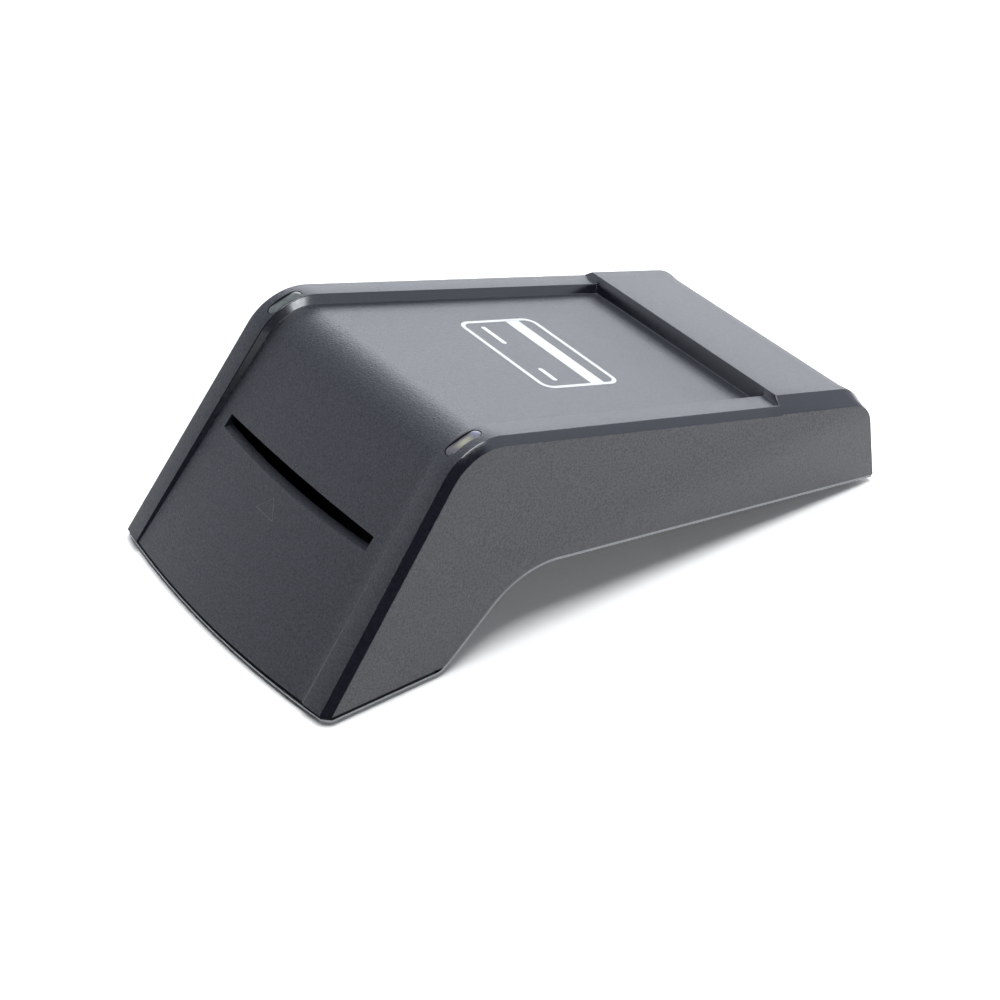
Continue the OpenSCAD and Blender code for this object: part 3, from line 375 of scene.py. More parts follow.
def bevel(obj, width, segments, angle):
    """Rounds the edges between faces that meet at more than an angle in degrees."""
    mod = obj.modifiers.new("bevel", "BEVEL")
    mod.width = width * MM
    mod.segments = segments
    mod.limit_method = "ANGLE"
    mod.angle_limit = math.radians(angle)
    mod.use_clamp_overlap = True
    mod.miter_outer = "MITER_ARC"
    apply_all(obj)


def arc(centre, r, a0, a1, steps):
    """Points of an arc from one angle to another."""
    return [centre + r * direction(a0 + (a1 - a0) * i / steps) for i in range(steps + 1)]


def stadium(half_run, r, steps=14):
    """Outline of a bar with round ends along the second axis."""
    points = [v2(0, half_run) + r * direction(math.pi * i / steps) for i in range(steps + 1)]
    return points + [-p for p in points]


def main_frame():
    """Matrix of the main board's frame: u along it, w up from it."""
    c, s = math.cos(CARD_TILT), math.sin(CARD_TILT)
    rot = Matrix(((1, 0, 0), (0, c, s), (0, -s, c))).to_4x4()
    rot.translation = Vector(place(0, v2(BOARD_Y, BOARD_Z)))
    return rot


def board_bar(name, outline, levels):
    """Outline across and up from the main board, run along it between two levels of u."""
    matrix = main_frame()
    return loft(name, [[matrix @ Vector((p[0] * MM, u * MM, p[1] * MM)) for p in outline]
                       for u in levels])


def rod(name, centre, r, z0, z1, matrix=None, steps=48):
    """Upright round bar, in the part's own frame or in that of a matrix."""
    rings = []
    for z in (z0, z1):
        ring = [(centre[0] + r * math.cos(a), centre[1] + r * math.sin(a))
                for a in (2 * math.pi * i / steps for i in range(steps))]
        if matrix is None:
            rings.append([place(x, v2(y, z)) for x, y in ring])
        else:
            rings.append([matrix @ Vector((x * MM, y * MM, z * MM)) for x, y in ring])
    return loft(name, rings)


# The housing's form
def bulge_at(x):
    """How far the front stands out at x."""
    return BULGE * (1 - (min(abs(x), RAIL_OUT) / RAIL_OUT) ** 2)


def form_ring(share, inset, n_low, n_high, n_block, r_rear, step_at, rear_inset, steps):
    """Side view outline at a share of the half width, set in from the side by an inset.

    The n are its heights over the rails at the foot, on the top and on the block.
    """
    rise_steps, bend_steps, flat_steps, rear_steps = steps
    x_low = min(abs(share) * (HALF_W - inset), RAIL_OUT)
    low = on_slope(0, n_low + bulge_at(x_low))
    d = CORNER + SLOPE_OUT * n_high - low
    d = d / np.linalg.norm(d)
    out = v2(-d[1], d[0])
    r = CORNER_R + n_high
    centre = meet(low - out * r, d, on_top(0, n_high - r), TOP_DIR)
    foot = REAR_FOOT - REAR_OUT * rear_inset
    rear = meet(foot - REAR_OUT * r_rear, REAR_DIR, on_top(0, n_block - r_rear), TOP_DIR)
    bend = arc(centre, r, math.atan2(out[1], out[0]), math.pi / 2 - TOP_ANGLE, bend_steps)
    start = low - d * SLOPE_ON
    top_end = on_top(step_at, n_high)
    points = [start + (bend[0] - start) * i / rise_steps for i in range(rise_steps)] + bend
    points += [bend[-1] + (top_end - bend[-1]) * i / flat_steps for i in range(1, flat_steps)]
    points += [top_end, on_top(step_at + STEP_RUN, n_block)]
    points += arc(rear, r_rear, math.pi / 2 - TOP_ANGLE, REAR_SLANT, rear_steps)
    points += [foot - REAR_DIR * REAR_ON, v2(CORNER[0], -MIDDLE_ON)]
    return [place(share * (side_at(p) - inset), p) for p in points]


def form(name, edge, middle_steps, step_at, rear_inset, steps):
    """Loft across the width: the edge's outlines, the middle's, and the edge's mirrored."""
    middle = [i / middle_steps for i in range(1 - middle_steps, middle_steps)]
    columns = [(-1,) + c for c in edge] + [(m,) + edge[-1] for m in middle]
    columns += [(1,) + c for c in edge[::-1]]
    rings = [form_ring(*c, step_at, rear_inset, steps) for c in columns]
    return loft(name, rings), len(columns)


def smooth_faces(shell, columns):
    """The bevels, the left rail's inner wall and the block's step are smooth, the rest grained."""
    points = len(shell.data.vertices) // columns
    step_face = sum(FINE_STEPS[:3])
    last = columns - 2
    # A strip of faces runs round the side view between two columns
    spans = [(0, 0, points), (1, step_face, points), (3, 0, step_face),
             (last - 1, step_face, points), (last, 0, points)]
    spans += [(strip, step_face, step_face + 1) for strip in range(columns - 1)]
    for strip, low, high in spans:
        for face in shell.data.polygons[strip * points + low:strip * points + high]:
            face.material_index = SMOOTH


def below_seam(drop_foot, drop):
    """Outline of all below the seam line, lowered by one drop at the foot and one elsewhere."""
    low = SEAM_H - drop_foot
    under_dir = v2(math.cos(UNDER), -math.sin(UNDER))
    under_out = v2(math.sin(UNDER), math.cos(UNDER))
    riser_dir = direction(RISER)
    riser_out = v2(-math.sin(RISER), math.cos(RISER))
    peak = v2(ARCH_Y, ARCH_H)
    riser_at = peak - riser_out * drop
    heel = meet(v2(0, low), v2(1, 0), riser_at, riser_dir)
    crown = meet(riser_at, riser_dir, peak - under_out * drop, under_dir)
    r_arch, r_heel = ARCH_R - drop, FOOT_EDGE_R + drop
    heel_centre = heel + v2(-r_heel * math.tan(RISER / 2), r_heel)
    run = r_arch * math.tan((RISER + UNDER) / 2)
    arch_centre = crown - riser_dir * run - riser_out * r_arch
    far = BODY_L * 1.2
    points = [v2(-far, -far), v2(-far, low)]
    points += arc(heel_centre, r_heel, -math.pi / 2, RISER - math.pi / 2, HEEL_STEPS)
    points += arc(arch_centre, r_arch, math.pi / 2 + RISER, math.pi / 2 - UNDER, ARCH_STEPS)
    return points + [crown + under_dir * far, v2(far, -far)]


def bend_point(x, t, depth):
    """Point on the rails' bend at x, t along it from its middle, and a depth below it."""
    phi = math.asin(max(-1, min(1, t / CORNER_R)))
    return place(x, BEND_CENTRE + (CORNER_R - depth) * direction(BEND_ANGLE - phi))


def window_cutter(side):
    """One light window, straight into the middle of the rail's bend."""
    axis = direction(BEND_ANGLE)
    along = v2(axis[1], -axis[0])
    outline = stadium((WINDOW_L - WINDOW_W) / 2, WINDOW_W / 2 + WINDOW_PLAY)
    return loft("window_tool", [[place(side * (WINDOW_X + p[0]),
                                       BEND_MID + axis * h + along * (p[1] + WINDOW_UP))
                                 for p in outline] for h in (-WINDOW_IN, WINDOW_OUT)])


def slot_cutter():
    """The card slot, with a lower lip that dips in its middle."""
    dip_r = ((SLOT_W / 2) ** 2 + SLOT_DIP ** 2) / (2 * SLOT_DIP)
    dip_centre = CARD_LEVEL - SLOT_H / 2 - SLOT_DIP + dip_r
    outline = []
    for i in range(SLOT_STEPS + 1):
        x = -SLOT_W / 2 + SLOT_W * i / SLOT_STEPS
        outline.append(v2(x - SLOT_SIDE, dip_centre - math.sqrt(dip_r ** 2 - x ** 2)))
    outline += [v2(side * SLOT_W / 2 - SLOT_SIDE, CARD_LEVEL + SLOT_H / 2) for side in (1, -1)]
    reach = BOARD_Y - SLOT_AT[0] + SLOT_OUT
    return board_bar("slot_tool", outline, (-reach, SLOT_IN))


def inlet_cutter():
    """The oval mouth in the rear end, at the end of the main board."""
    outline = [v2(p[1], p[0] + INLET_LEVEL)
               for p in stadium(INLET_HALF_RUN, INLET_R + INLET_PLAY)]
    return board_bar("inlet_tool", outline, (BOARD_L - WALL, BOARD_L + INLET_REACH))


def panel_level(x, run):
    """Height of the sloping panel over the rails' plane, at x and a run up the slope."""
    up = run / SLOPE_L
    return (bulge_at(x) - PANEL_FOOT) * (1 - up) - PANEL_DEPTH * up


def mark_cutter():
    """Narrow triangular groove that follows the bulging panel."""
    half = MARK_W / 2
    outer = [v2(-half, 0), v2(half, 0), v2(0, MARK_TIP)]
    inner = [v2(-half + MARK_SIDE_IN, MARK_GROOVE), v2(half - MARK_SIDE_IN, MARK_GROOVE),
             v2(0, MARK_TIP - MARK_TIP_IN)]
    verts, faces = [], []
    for n in (-MARK_DEPTH, WALL):
        for p in outer + inner:
            x, run = p[0] - MARK_LEFT, MARK_UP + p[1]
            verts.append(place(x, on_slope(run, panel_level(x, run) + n)))
    for i in range(3):
        j = (i + 1) % 3
        faces += [(i, j, 3 + j, 3 + i), (6 + i, 9 + i, 9 + j, 6 + j),
                  (i, 6 + i, 6 + j, j), (3 + i, 3 + j, 9 + j, 9 + i)]
    return new_object("mark_tool", verts, faces)


def paint_mark(shell):
    """Gives the insertion mark's groove a pale painted highlight for the light its flank catches.
    """
    low, high = MARK_LEVELS
    for face in shell.data.polygons:
        c = face.center / MM
        p = v2(c[1] + MID_Y, c[2]) - v2(0, SEAM_H)
        run, rise = float(np.dot(p, SLOPE_DIR)), float(np.dot(p, SLOPE_OUT))
        near = abs(run - MARK_UP) < MARK_W and abs(c[0] + MARK_LEFT) < MARK_REACH
        if near and low < (rise - panel_level(c[0], run)) / MARK_DEPTH < high:
            # painted highlight: the groove's faces get a pale colour that stands in for the light
            # its flank catches
            face.material_index = MARK_HIGHLIGHT


def make_housing_top(plastics):
    """Upper shell: the outer form less the inner one, cut off at the seam and opened."""
    rail_in = BEVEL_W + RAIL_W
    shell, columns = form("housing_top", [
        (0, -BEVEL_H, -BEVEL_H, -BEVEL_H * 0.75, REAR_SIDE_R),
        (BEVEL_W, 0, 0, 0, (REAR_SIDE_R * 2 + REAR_EDGE_R) / 3),
        (BEVEL_W * (1 + BLOCK_RISE / BEVEL_H), 0, 0, BLOCK_RISE, (REAR_SIDE_R + REAR_EDGE_R) / 2),
        (rail_in, 0, 0, BLOCK_RISE, REAR_EDGE_R),
        (rail_in + WALL_DRAFT, -PANEL_FOOT, -PANEL_DEPTH, BLOCK_RISE, REAR_EDGE_R),
    ], OUTER_COLUMNS, BLOCK_START, 0, FINE_STEPS)
    for mat in plastics:
        shell.data.materials.append(mat)
    smooth_faces(shell, columns)
    bevel(shell, EDGE_R, 3, EDGE_OVER)
    inside, _ = form("inside", [(WALL, -WALL, -SKIN_T, BLOCK_RISE - WALL, REAR_EDGE_R - WALL)],
                     INNER_COLUMNS, BLOCK_START + WALL, WALL, COARSE_STEPS)
    cut(shell, inside)
    cut(shell, prism("seam_tool", below_seam(0, 0)))
    cut(shell, slot_cutter())
    cut(shell, mark_cutter())
    for side in (-1, 1):
        cut(shell, window_cutter(side))
    cut(shell, inlet_cutter())
    finish_mesh(shell.data, SHARP_OVER)
    paint_mark(shell)
    return shell


# The base
def under_z(y):
    """Height of the base's straight underside at y."""
    return REAR_SEAM_H + (BODY_L - y) * math.tan(UNDER) - BASE_RIM / math.cos(UNDER)


def base_layer(name, inset, drop_foot, drop):
    """Upright form set back from the housing's outside by an inset, below a line under the seam."""
    rings = []
    for z in (-SEAM_H, ARCH_H + LAYER_TOP):
        y = (inset / 2 + BEVEL_H) / math.sin(FRONT_ANGLE)
        x = side_at(v2(y, z)) - inset
        ring = [place(-x, v2(y, z))]
        for i in range(-BASE_COLUMNS, BASE_COLUMNS + 1):
            front_x = i / BASE_COLUMNS * (x - BEVEL_W + inset / 2)
            front_y = (inset - bulge_at(front_x)) / math.sin(FRONT_ANGLE)
            ring.append(place(front_x, v2(front_y, z)))
        ring.append(place(x, v2(y, z)))
        y = BODY_L - inset / math.cos(REAR_SLANT) - (z - REAR_SEAM_H) * math.tan(REAR_SLANT)
        x = side_at(v2(y, z)) - inset
        rings.append(ring + [place(x, v2(y, z)), place(-x, v2(y, z))])
    layer = loft(name, rings)
    cut(layer, prism(name + "_low", below_seam(drop_foot, drop)), "INTERSECT")
    return layer


def depth_inside(x, p):
    """How far a point lies inside the housing's outside at its sides, front, rear or corners."""
    side = side_at(p) - abs(x)
    front = bulge_at(x) + p[0] * math.sin(FRONT_ANGLE)
    rear = -float(np.dot(p - REAR_FOOT, REAR_OUT))
    corner_scale = BEVEL_W * BEVEL_H / math.hypot(BEVEL_W, BEVEL_H)
    corner = (side / BEVEL_W + front / BEVEL_H - 1) * corner_scale
    return min(side, front, rear, corner)


def paint_base(base, plastics):
    """Painted reflection of the floor on the outer rim, painted seam shade on the lip behind the
    seam, and the base's own plastic elsewhere.
    """
    for mat in plastics:
        base.data.materials.append(mat)
    for face in base.data.polygons:
        c = face.center / MM
        depth = depth_inside(c[0], v2(c[1] + MID_Y, c[2]))
        # painted reflection: the rim's upright outer faces get a pale colour that stands in for the
        # bright floor reflected in them
        if depth < LIP_INSET - BASE_PLAY and abs(face.normal.z) < UPRIGHT_BELOW:
            face.material_index = RIM_REFLECTION
        # painted shade: the lip behind the seam is near black to stand in for the shadow in the
        # seam's gap
        elif depth < LIP_INSET + BASE_PLAY and face.normal.z > FACES_DOWN:
            face.material_index = LIP_SHADE
        else:
            face.material_index = PLAIN


def make_base(plastics):
    """Lower shell: rim, lip and tray, with its posts, screw recesses and pad recesses."""
    base = base_layer("base_bottom", RIM_INSET, FOOT_SEAM, SIDE_SEAM)
    cut(base, base_layer("lip", LIP_INSET, 0, 0), "UNION")
    cut(base, base_layer("tray", WALL + BASE_PLAY, -FLOOR_T, -FLOOR_T), "UNION")
    matrix = main_frame()
    ring_x, ring_y = SCREW_PLACES[1]
    ring_top = under_z(ring_y) + (BASE_RIM + FLOOR_T) / math.cos(UNDER) + SCREW_RING_H
    for side in (-1, 1):
        for x, u in POST_PLACES:
            post = rod("post", (side * x, u), POST_R, -BOARD_T - POST_REACH, -BOARD_T, matrix)
            cut(base, post, "UNION")
        ring = rod("ring", (side * ring_x, ring_y), SCREW_HEAD_R + SCREW_RING_WALL, 0, ring_top)
        cut(base, ring, "UNION")
    cut(base, prism("under", below_seam(FOOT_RIM, BASE_RIM)))
    seats = (SEAM_H - FOOT_RIM + SCREW_HEAD_H + RECESS_PLAY * 2,
             under_z(ring_y) + SCREW_HEAD_H + SCREW_SEAT_PLAY)
    pads = (SEAM_H - FOOT_RIM + PAD_SINK,
            under_z(PAD_PLACES[1][1]) + PAD_SINK + PAD_R * math.tan(UNDER))
    for side in (-1, 1):
        for (screw_x, screw_y), seat, (pad_x, pad_y), pad in zip(SCREW_PLACES, seats,
                                                                 PAD_PLACES, pads):
            screw_at, pad_at = (side * screw_x, screw_y), (side * pad_x, pad_y)
            cut(base, rod("seat", screw_at, SCREW_HEAD_R + RECESS_PLAY, -1, seat))
            cut(base, rod("way", screw_at, SCREW_R + RECESS_PLAY, -1, ARCH_H * WAY_H))
            cut(base, rod("pad_seat", pad_at, PAD_R + RECESS_PLAY, -1, pad))
    bevel(base, BASE_EDGE_R, 2, BASE_EDGE_OVER)
    paint_base(base, plastics)
    return base


# Smaller pieces
def make_lens(name, side, glass, stem_shade):
    """Light guide: a bar with a softly domed face that follows the bend, with painted shade round
    its stem for the gap about it.
    """
    verts = []
    for inset, depth in LENS_ROWS:
        outline = stadium((WINDOW_L - WINDOW_W) / 2, WINDOW_W / 2 - inset)
        verts += [bend_point(side * WINDOW_X + p[0], p[1] + WINDOW_UP, depth + LENS_SINK)
                  for p in outline]
    count = len(outline)
    lens = new_object(name, verts, tube_faces(0, len(LENS_ROWS), count),
                      LENS_SHARP_OVER)
    lens.data.materials.append(glass)
    lens.data.materials.append(stem_shade)
    # painted shade: the stem's faces take the near-black material for the shadow in the gap round
    # the guide
    for face in lens.data.polygons[:count]:
        face.material_index = 1
    return lens


def make_springs():
    """Two wound springs behind the carriage, each one unbroken round wire."""
    count = SPRING_TURNS * TURN_STEPS
    start, end = (Vector((0, *point)) for point in (SPRING_FRONT, SPRING_REAR))
    along = (end - start).normalized()
    up = along.cross(Vector((-1, 0, 0)))
    run = (end - start).length - 2 * SPRING_WIRE_R
    verts, faces = [], []
    for side in (-1, 1):
        faces += tube_faces(len(verts), count + 1, WIRE_SIDES)
        for i in range(count + 1):
            turn = 2 * math.pi * i / TURN_STEPS
            out = Vector((side * math.cos(turn), 0, 0)) + up * math.sin(turn)
            mid = (start + Vector((side * SPRING_X, 0, 0))
                   + along * (SPRING_WIRE_R + run * i / count))
            for k in range(WIRE_SIDES):
                b = 2 * math.pi * k / WIRE_SIDES
                off = (out * (SPRING_R + SPRING_WIRE_R * math.cos(b))
                       + along * SPRING_WIRE_R * math.sin(b))
                verts.append((mid + off) * MM)
    springs = new_object("carriage_springs", verts, faces)
    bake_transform(springs)
    return springs


def panel_print(name, pieces):
    """Thin printed layer on the sunk panel, from outlines in x and the distance along the top."""
    verts, faces = [], []
    for outer, inner in pieces:
        start = len(verts)
        count = len(outer)
        for level in (-PRINT_T, PRINT_T):
            for ring in (outer, inner):
                verts += [place(p[0], on_top(p[1], level - PANEL_DEPTH)) for p in ring]
        low_out, low_in, top_out, top_in = (start + i * count for i in range(4))
        for k in range(count):
            j = (k + 1) % count
            faces += [(top_out + k, top_out + j, top_in + j, top_in + k),
                      (low_out + k, low_in + k, low_in + j, low_out + j),
                      (low_out + k, low_out + j, top_out + j, top_out + k)]
            if any(inner[k] != inner[j]):
                faces.append((low_in + k, top_in + k, top_in + j, low_in + j))
    return new_object(name, verts, faces, 0)


def round_box(centre, half_x, half_s, r, steps=6):
    """Outline of a rectangle with round corners."""
    points = []
    for q, (sx, ss) in enumerate(((1, 1), (-1, 1), (-1, -1), (1, -1))):
        at = v2(centre[0] + sx * (half_x - r), centre[1] + ss * (half_s - r))
        points += arc(at, r, q * math.pi / 2, (q + 1) * math.pi / 2, steps)
    return points


def filled_box(centre, half_x, half_s, r):
    """A round box and an inner outline that shrinks to its centre."""
    outline = round_box(centre, half_x, half_s, r)
    return outline, [v2(*centre)] * len(outline)


def make_sign():
    """Plain payment card sign: an outline, one band and two short bars."""
    x, s = PRINT_AT
    half_x, half_s, line = PRINT_W / 2, PRINT_W / 2 / PRINT_SHAPE, PRINT_LINE
    pieces = [
        (round_box(PRINT_AT, half_x, half_s, line * 3),
         round_box(PRINT_AT, half_x - line, half_s - line, line * 2)),
        filled_box((x, s + half_s * BAND_UP), half_x - line * 0.8, half_s * BAND_HALF,
                   line * 0.1),
    ]
    for shift, half in BARS:
        pieces.append(filled_box((x + half_x * shift, s - half_s * BARS_DOWN), half_x * half,
                                 line * 0.6, line * 0.5))
    return panel_print("panel_sign", pieces)


# Node helpers
def map_range(tree, value, source, target, interpolation="LINEAR"):
    """Carries a value over from one range to another."""
    node = tree.nodes.new("ShaderNodeMapRange")
    node.interpolation_type = interpolation
    node.inputs["From Min"].default_value, node.inputs["From Max"].default_value = source
    node.inputs["To Min"].default_value, node.inputs["To Max"].default_value = target
    tree.links.new(value, node.inputs["Value"])
    return node.outputs["Result"]


def vector_math(tree, operation, a, b=None):
    """Vector operation on a socket and, where given, a fixed vector."""
    node = tree.nodes.new("ShaderNodeVectorMath")
    node.operation = operation
    tree.links.new(a, node.inputs[0])
    if b is not None:
        node.inputs[1].default_value = b
    return node.outputs["Value" if operation in ("DOT_PRODUCT", "LENGTH") else "Vector"]


def mix_color(tree, factor, a, b):
    """Mix of two colours, each one given as a value or as a socket."""
    node = tree.nodes.new("ShaderNodeMix")
    node.data_type = "RGBA"
    tree.links.new(factor, node.inputs["Factor"])
    for name, color in (("A", a), ("B", b)):
        if isinstance(color, bpy.types.NodeSocket):
            tree.links.new(color, node.inputs[name])
        else:
            node.inputs[name].default_value = (*color, 1)
    return node.outputs["Result"]


def background_rays(tree, with_reflections):
    """1 on camera rays, and on glossy and transmission rays too where asked."""
    path = tree.nodes.new("ShaderNodeLightPath")
    value = path.outputs["Is Camera Ray"]
    if with_reflections:
        for name in ("Is Glossy Ray", "Is Transmission Ray"):
            top = tree.nodes.new("ShaderNodeMath")
            top.operation = "MAXIMUM"
            tree.links.new(value, top.inputs[0])
            tree.links.new(path.outputs[name], top.inputs[1])
            value = top.outputs["Value"]
    return value


# Materials
def material(name, color, rough=0.5, metallic=0.0, bump=0.0, scale=1000.0, vary=0.0, spec=0.5,
             grain=0.0):
    """Moulded or plain metal surface.

    One fine noise varies its colour, roughness, gleam and relief.
    """
    mat = bpy.data.materials.new(name)
    mat.use_nodes = True
    tree = mat.node_tree
    nodes, links = tree.nodes, tree.links
    shader = nodes["Principled BSDF"]
    shader.inputs["Metallic"].default_value = metallic
    shader.inputs["Specular IOR Level"].default_value = spec
    coords = nodes.new("ShaderNodeTexCoord")
    noise_node = nodes.new("ShaderNodeTexNoise")
    noise_node.inputs["Scale"].default_value = scale
    noise_node.inputs["Detail"].default_value = NOISE_DETAIL
    links.new(coords.outputs["Object"], noise_node.inputs["Vector"])
    noise = noise_node.outputs["Fac"]
    ramp = nodes.new("ShaderNodeValToRGB")
    low, high = ramp.color_ramp.elements
    low.position, high.position = RAMP_FROM, RAMP_TO
    low.color = [c * (1 - vary) for c in color] + [1]
    high.color = [min(1, c * (1 + vary)) for c in color] + [1]
    links.new(noise, ramp.inputs["Fac"])
    links.new(ramp.outputs["Color"], shader.inputs["Base Color"])
    spread = map_range(tree, noise, (0, 1), (rough - ROUGH_SPREAD, rough + ROUGH_SPREAD))
    links.new(spread, shader.inputs["Roughness"])
    if grain:
        gleam = map_range(tree, noise, (GRAIN_FROM, GRAIN_TO), (spec * (1 - grain), spec))
        links.new(gleam, shader.inputs["Specular IOR Level"])
    if bump:
        relief = nodes.new("ShaderNodeBump")
        relief.inputs["Strength"].default_value = bump
        relief.inputs["Distance"].default_value = BUMP_DEPTH
        links.new(noise, relief.inputs["Height"])
        links.new(relief.outputs["Normal"], shader.inputs["Normal"])
    return mat


def add_glow_spot(mat, centre, stretch, r, color):
    """Soft patch of painted glow in another colour about a point, in the object's own coordinates.
    """
    tree = mat.node_tree
    base_color = tree.nodes["Principled BSDF"].inputs["Base Color"]
    coords = tree.nodes.new("ShaderNodeTexCoord")
    offset = vector_math(tree, "SUBTRACT", coords.outputs["Object"], centre)
    distance = vector_math(tree, "LENGTH", vector_math(tree, "MULTIPLY", offset, stretch))
    fade = map_range(tree, distance, (r * SPOT_CORE, r), (1, 0), "SMOOTHSTEP")
    mixed = mix_color(tree, fade, base_color.links[0].from_socket, color)
    tree.links.new(mixed, base_color)


def give(obj, mat):
    """Makes a material the object's only one."""
    obj.data.materials.clear()
    obj.data.materials.append(mat)


# Camera, lights and floor
def make_camera():
    """Camera in the place, turn and lens fitted to the photograph."""
    data = bpy.data.cameras.new("camera")
    data.lens = FOCAL_LENGTH
    data.sensor_width = SENSOR_W
    data.clip_start, data.clip_end = CLIP
    cam = bpy.data.objects.new("camera", data)
    bpy.context.collection.objects.link(cam)
    forward = Vector(CAMERA_FORWARD).normalized()
    right = Vector(CAMERA_RIGHT)
    right = (right - forward * right.dot(forward)).normalized()
    up = right.cross(forward)
    matrix = Matrix((right, up, -forward)).transposed().to_4x4()
    matrix.translation = Vector(CAMERA_AT)
    cam.matrix_world = matrix
    bpy.context.scene.camera = cam


def make_lamp(name, at, target, size, power):
    """Cool rectangular area light, turned to its target."""
    data = bpy.data.lights.new(name, "AREA")
    data.shape = "RECTANGLE"
    data.size, data.size_y = size
    data.energy = power
    data.color = COOL
    lamp = bpy.data.objects.new(name, data)
    bpy.context.collection.objects.link(lamp)
    toward = (Vector(target) - Vector(at)).normalized()
    turn = toward.to_track_quat("-Z", "Y").to_matrix().to_4x4()
    lamp.matrix_world = Matrix.Translation(at) @ turn


def make_world():
    """White backdrop, with the unlit side of the room at the front right."""
    world = bpy.data.worlds.new("studio")
    bpy.context.scene.world = world
    world.use_nodes = True
    tree = world.node_tree
    coords = tree.nodes.new("ShaderNodeTexCoord")
    nearness = vector_math(tree, "DOT_PRODUCT", coords.outputs["Generated"],
                           Vector(DARK_TOWARD).normalized())
    room = map_range(tree, nearness, (DARK_FROM, DARK_TO), (0, 1), "SMOOTHSTEP")
    plain, reflected = (mix_color(tree, room, bright, DARK_SIDE) for bright in (AMBIENT, BACKDROP))
    lit = mix_color(tree, background_rays(tree, True), plain, reflected)
    seen = mix_color(tree, background_rays(tree, False), lit, WHITE)
    tree.links.new(seen, tree.nodes["Background"].inputs["Color"])


def make_floor():
    """Pale floor that keeps the object's shadow and goes over into the white backdrop."""
    far = FLOOR_REACH
    corners = [(-far, -far, 0), (far, -far, 0), (far, far, 0), (-far, far, 0)]
    floor = new_object("floor", corners, [(0, 1, 2, 3)], 0)
    mat = material("floor_white", FLOOR_WHITE, 0.6, scale=20, spec=0.2)
    tree = mat.node_tree
    seen = tree.nodes.new("ShaderNodeBsdfDiffuse")
    seen.inputs["Color"].default_value = (*FLOOR_SEEN, 1)
    mix = tree.nodes.new("ShaderNodeMixShader")
    tree.links.new(background_rays(tree, True), mix.inputs["Fac"])
    tree.links.new(tree.nodes["Principled BSDF"].outputs["BSDF"], mix.inputs[1])
    tree.links.new(seen.outputs["BSDF"], mix.inputs[2])
    tree.links.new(mix.outputs["Shader"], tree.nodes["Material Output"].inputs["Surface"])
    give(floor, mat)


def make_studio():
    make_world()
    for lamp in LAMPS:
        make_lamp(*lamp)
    bpy.context.scene.view_settings.view_transform = "Standard"
    make_floor()


make_camera()
make_studio()

housing = material("housing_plastic", (0.017, 0.018, 0.025), 0.42, bump=1.0, scale=2300, vary=0.5,
                   spec=1.0, grain=0.35)
smooth_plastic = material("housing_smooth", (0.013, 0.0135, 0.021), 0.17, scale=1200, vary=0.2,
                          spec=1.0)
# painted highlight: pale plastic on the mark's groove for the light caught by its flank
mark_highlight_plastic = material("mark_highlight_plastic", (0.17, 0.17, 0.18), 0.4, scale=3400, vary=0.2)
base_plastic = material("base_plastic", (0.10, 0.105, 0.11), 0.5, bump=0.4, scale=2200, vary=0.08)
# painted reflection: pale plastic on the base's rim for the bright floor it reflects
rim_reflection_plastic = material("base_rim", (0.50, 0.51, 0.52), 0.45, bump=0.2, scale=2200, vary=0.05)
# painted shade: near-black plastic for the shadow in the seam's gap and round the light guides'
# stems
gap_shade_plastic = material("gap_painted_shade", (0.008, 0.008, 0.01), 0.6, scale=2200, vary=0.1, spec=0.2)
sign_white = material("sign_white", (0.95, 0.95, 0.94), 0.5, bump=0.05, scale=2200, vary=0.03)
rubber = material("pad_rubber", (0.012, 0.012, 0.012), 0.75, bump=0.4, scale=1600, vary=0.2)
board_green = material("board_green", (0.01, 0.07, 0.03), 0.35, scale=600, vary=0.2)
black_plastic = material("black_plastic", (0.012, 0.012, 0.013), 0.45, bump=0.2, scale=2500,
                         vary=0.15)
pale_plastic = material("pale_plastic", (0.62, 0.60, 0.54), 0.45, bump=0.2, scale=2500, vary=0.05)
gold = material("gold_contact", (0.85, 0.62, 0.25), 0.25, 1.0, scale=900, vary=0.05)
copper = material("copper_trace", (0.72, 0.38, 0.2), 0.35, 1.0, scale=900, vary=0.08)
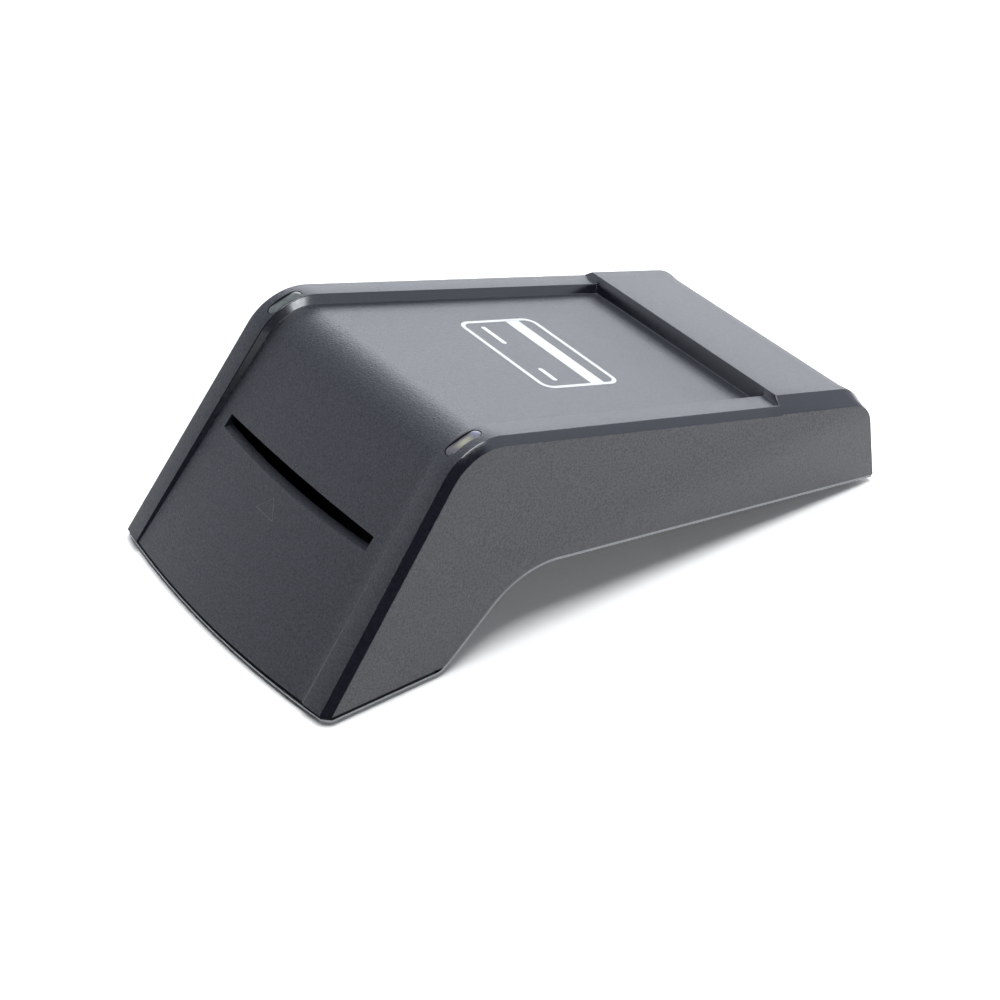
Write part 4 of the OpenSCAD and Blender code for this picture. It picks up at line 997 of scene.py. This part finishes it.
steel = material("tinned_steel", (0.6, 0.6, 0.62), 0.3, 1.0, scale=900, vary=0.08)
dark_steel = material("screw_steel", (0.32, 0.32, 0.34), 0.35, 1.0, scale=900, vary=0.1)
amber = material("flat_cable", (0.55, 0.28, 0.06), 0.3, scale=700, vary=0.1)
ferrite = material("ferrite", (0.03, 0.03, 0.035), 0.7, bump=0.3, scale=1500, vary=0.2)

# Pieces that keep the solids' own shape
NODE_MATERIALS = (
    (board_green, ("main_board", "antenna_board")),
    (black_plastic, ("connector_base", "connector_cover", "detect_switch", "controller_chip",
                     "radio_chip", "buzzer", "usb_tongue")),
    (pale_plastic, ("contact_carriage", "detect_lever", "led_left", "led_right",
                    "cable_socket")),
    (gold, ("contact_springs",)),
    (copper, ("antenna_coil",)),
    (ferrite, ("ferrite_sheet",)),
    (amber, ("antenna_cable",)),
    (steel, ("crystal", "usb_shell", "board_screws")),
    (dark_steel, ("case_screws",)),
    (rubber, ("foot_front_left", "foot_front_right", "foot_rear_left", "foot_rear_right")),
)
for mat, names in NODE_MATERIALS:
    for node in names:
        give(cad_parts[node], mat)

base = make_base((base_plastic, rim_reflection_plastic, gap_shade_plastic))
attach(base, BODY)
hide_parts("lower_shell")

top = make_housing_top((housing, smooth_plastic, mark_highlight_plastic))
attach(top, BODY)
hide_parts("upper_shell")

sign = make_sign()
give(sign, sign_white)
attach(sign, BODY)

glass_left = material("lens_left", (0.15, 0.17, 0.165), 0.3, bump=0.05, scale=1500, vary=0.2)
glowing_glass_right = material("lens_right", (0.17, 0.155, 0.175), 0.3, bump=0.05, scale=1500, vary=0.2)
# painted glow: the right guide's patches stand in for its lamp shining through
for (x, along), stretch, r, color in LENS_GLOW_SPOTS:
    add_glow_spot(glowing_glass_right, bend_point(x, along, 0), stretch, r, color)
for label, side, glass in (("left", -1, glass_left), ("right", 1, glowing_glass_right)):
    lens = make_lens("lens_" + label, side, glass, gap_shade_plastic)
    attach(lens, BODY)
    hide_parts("light_guide_" + label)

springs = make_springs()
give(springs, steel)
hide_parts("return_springs")
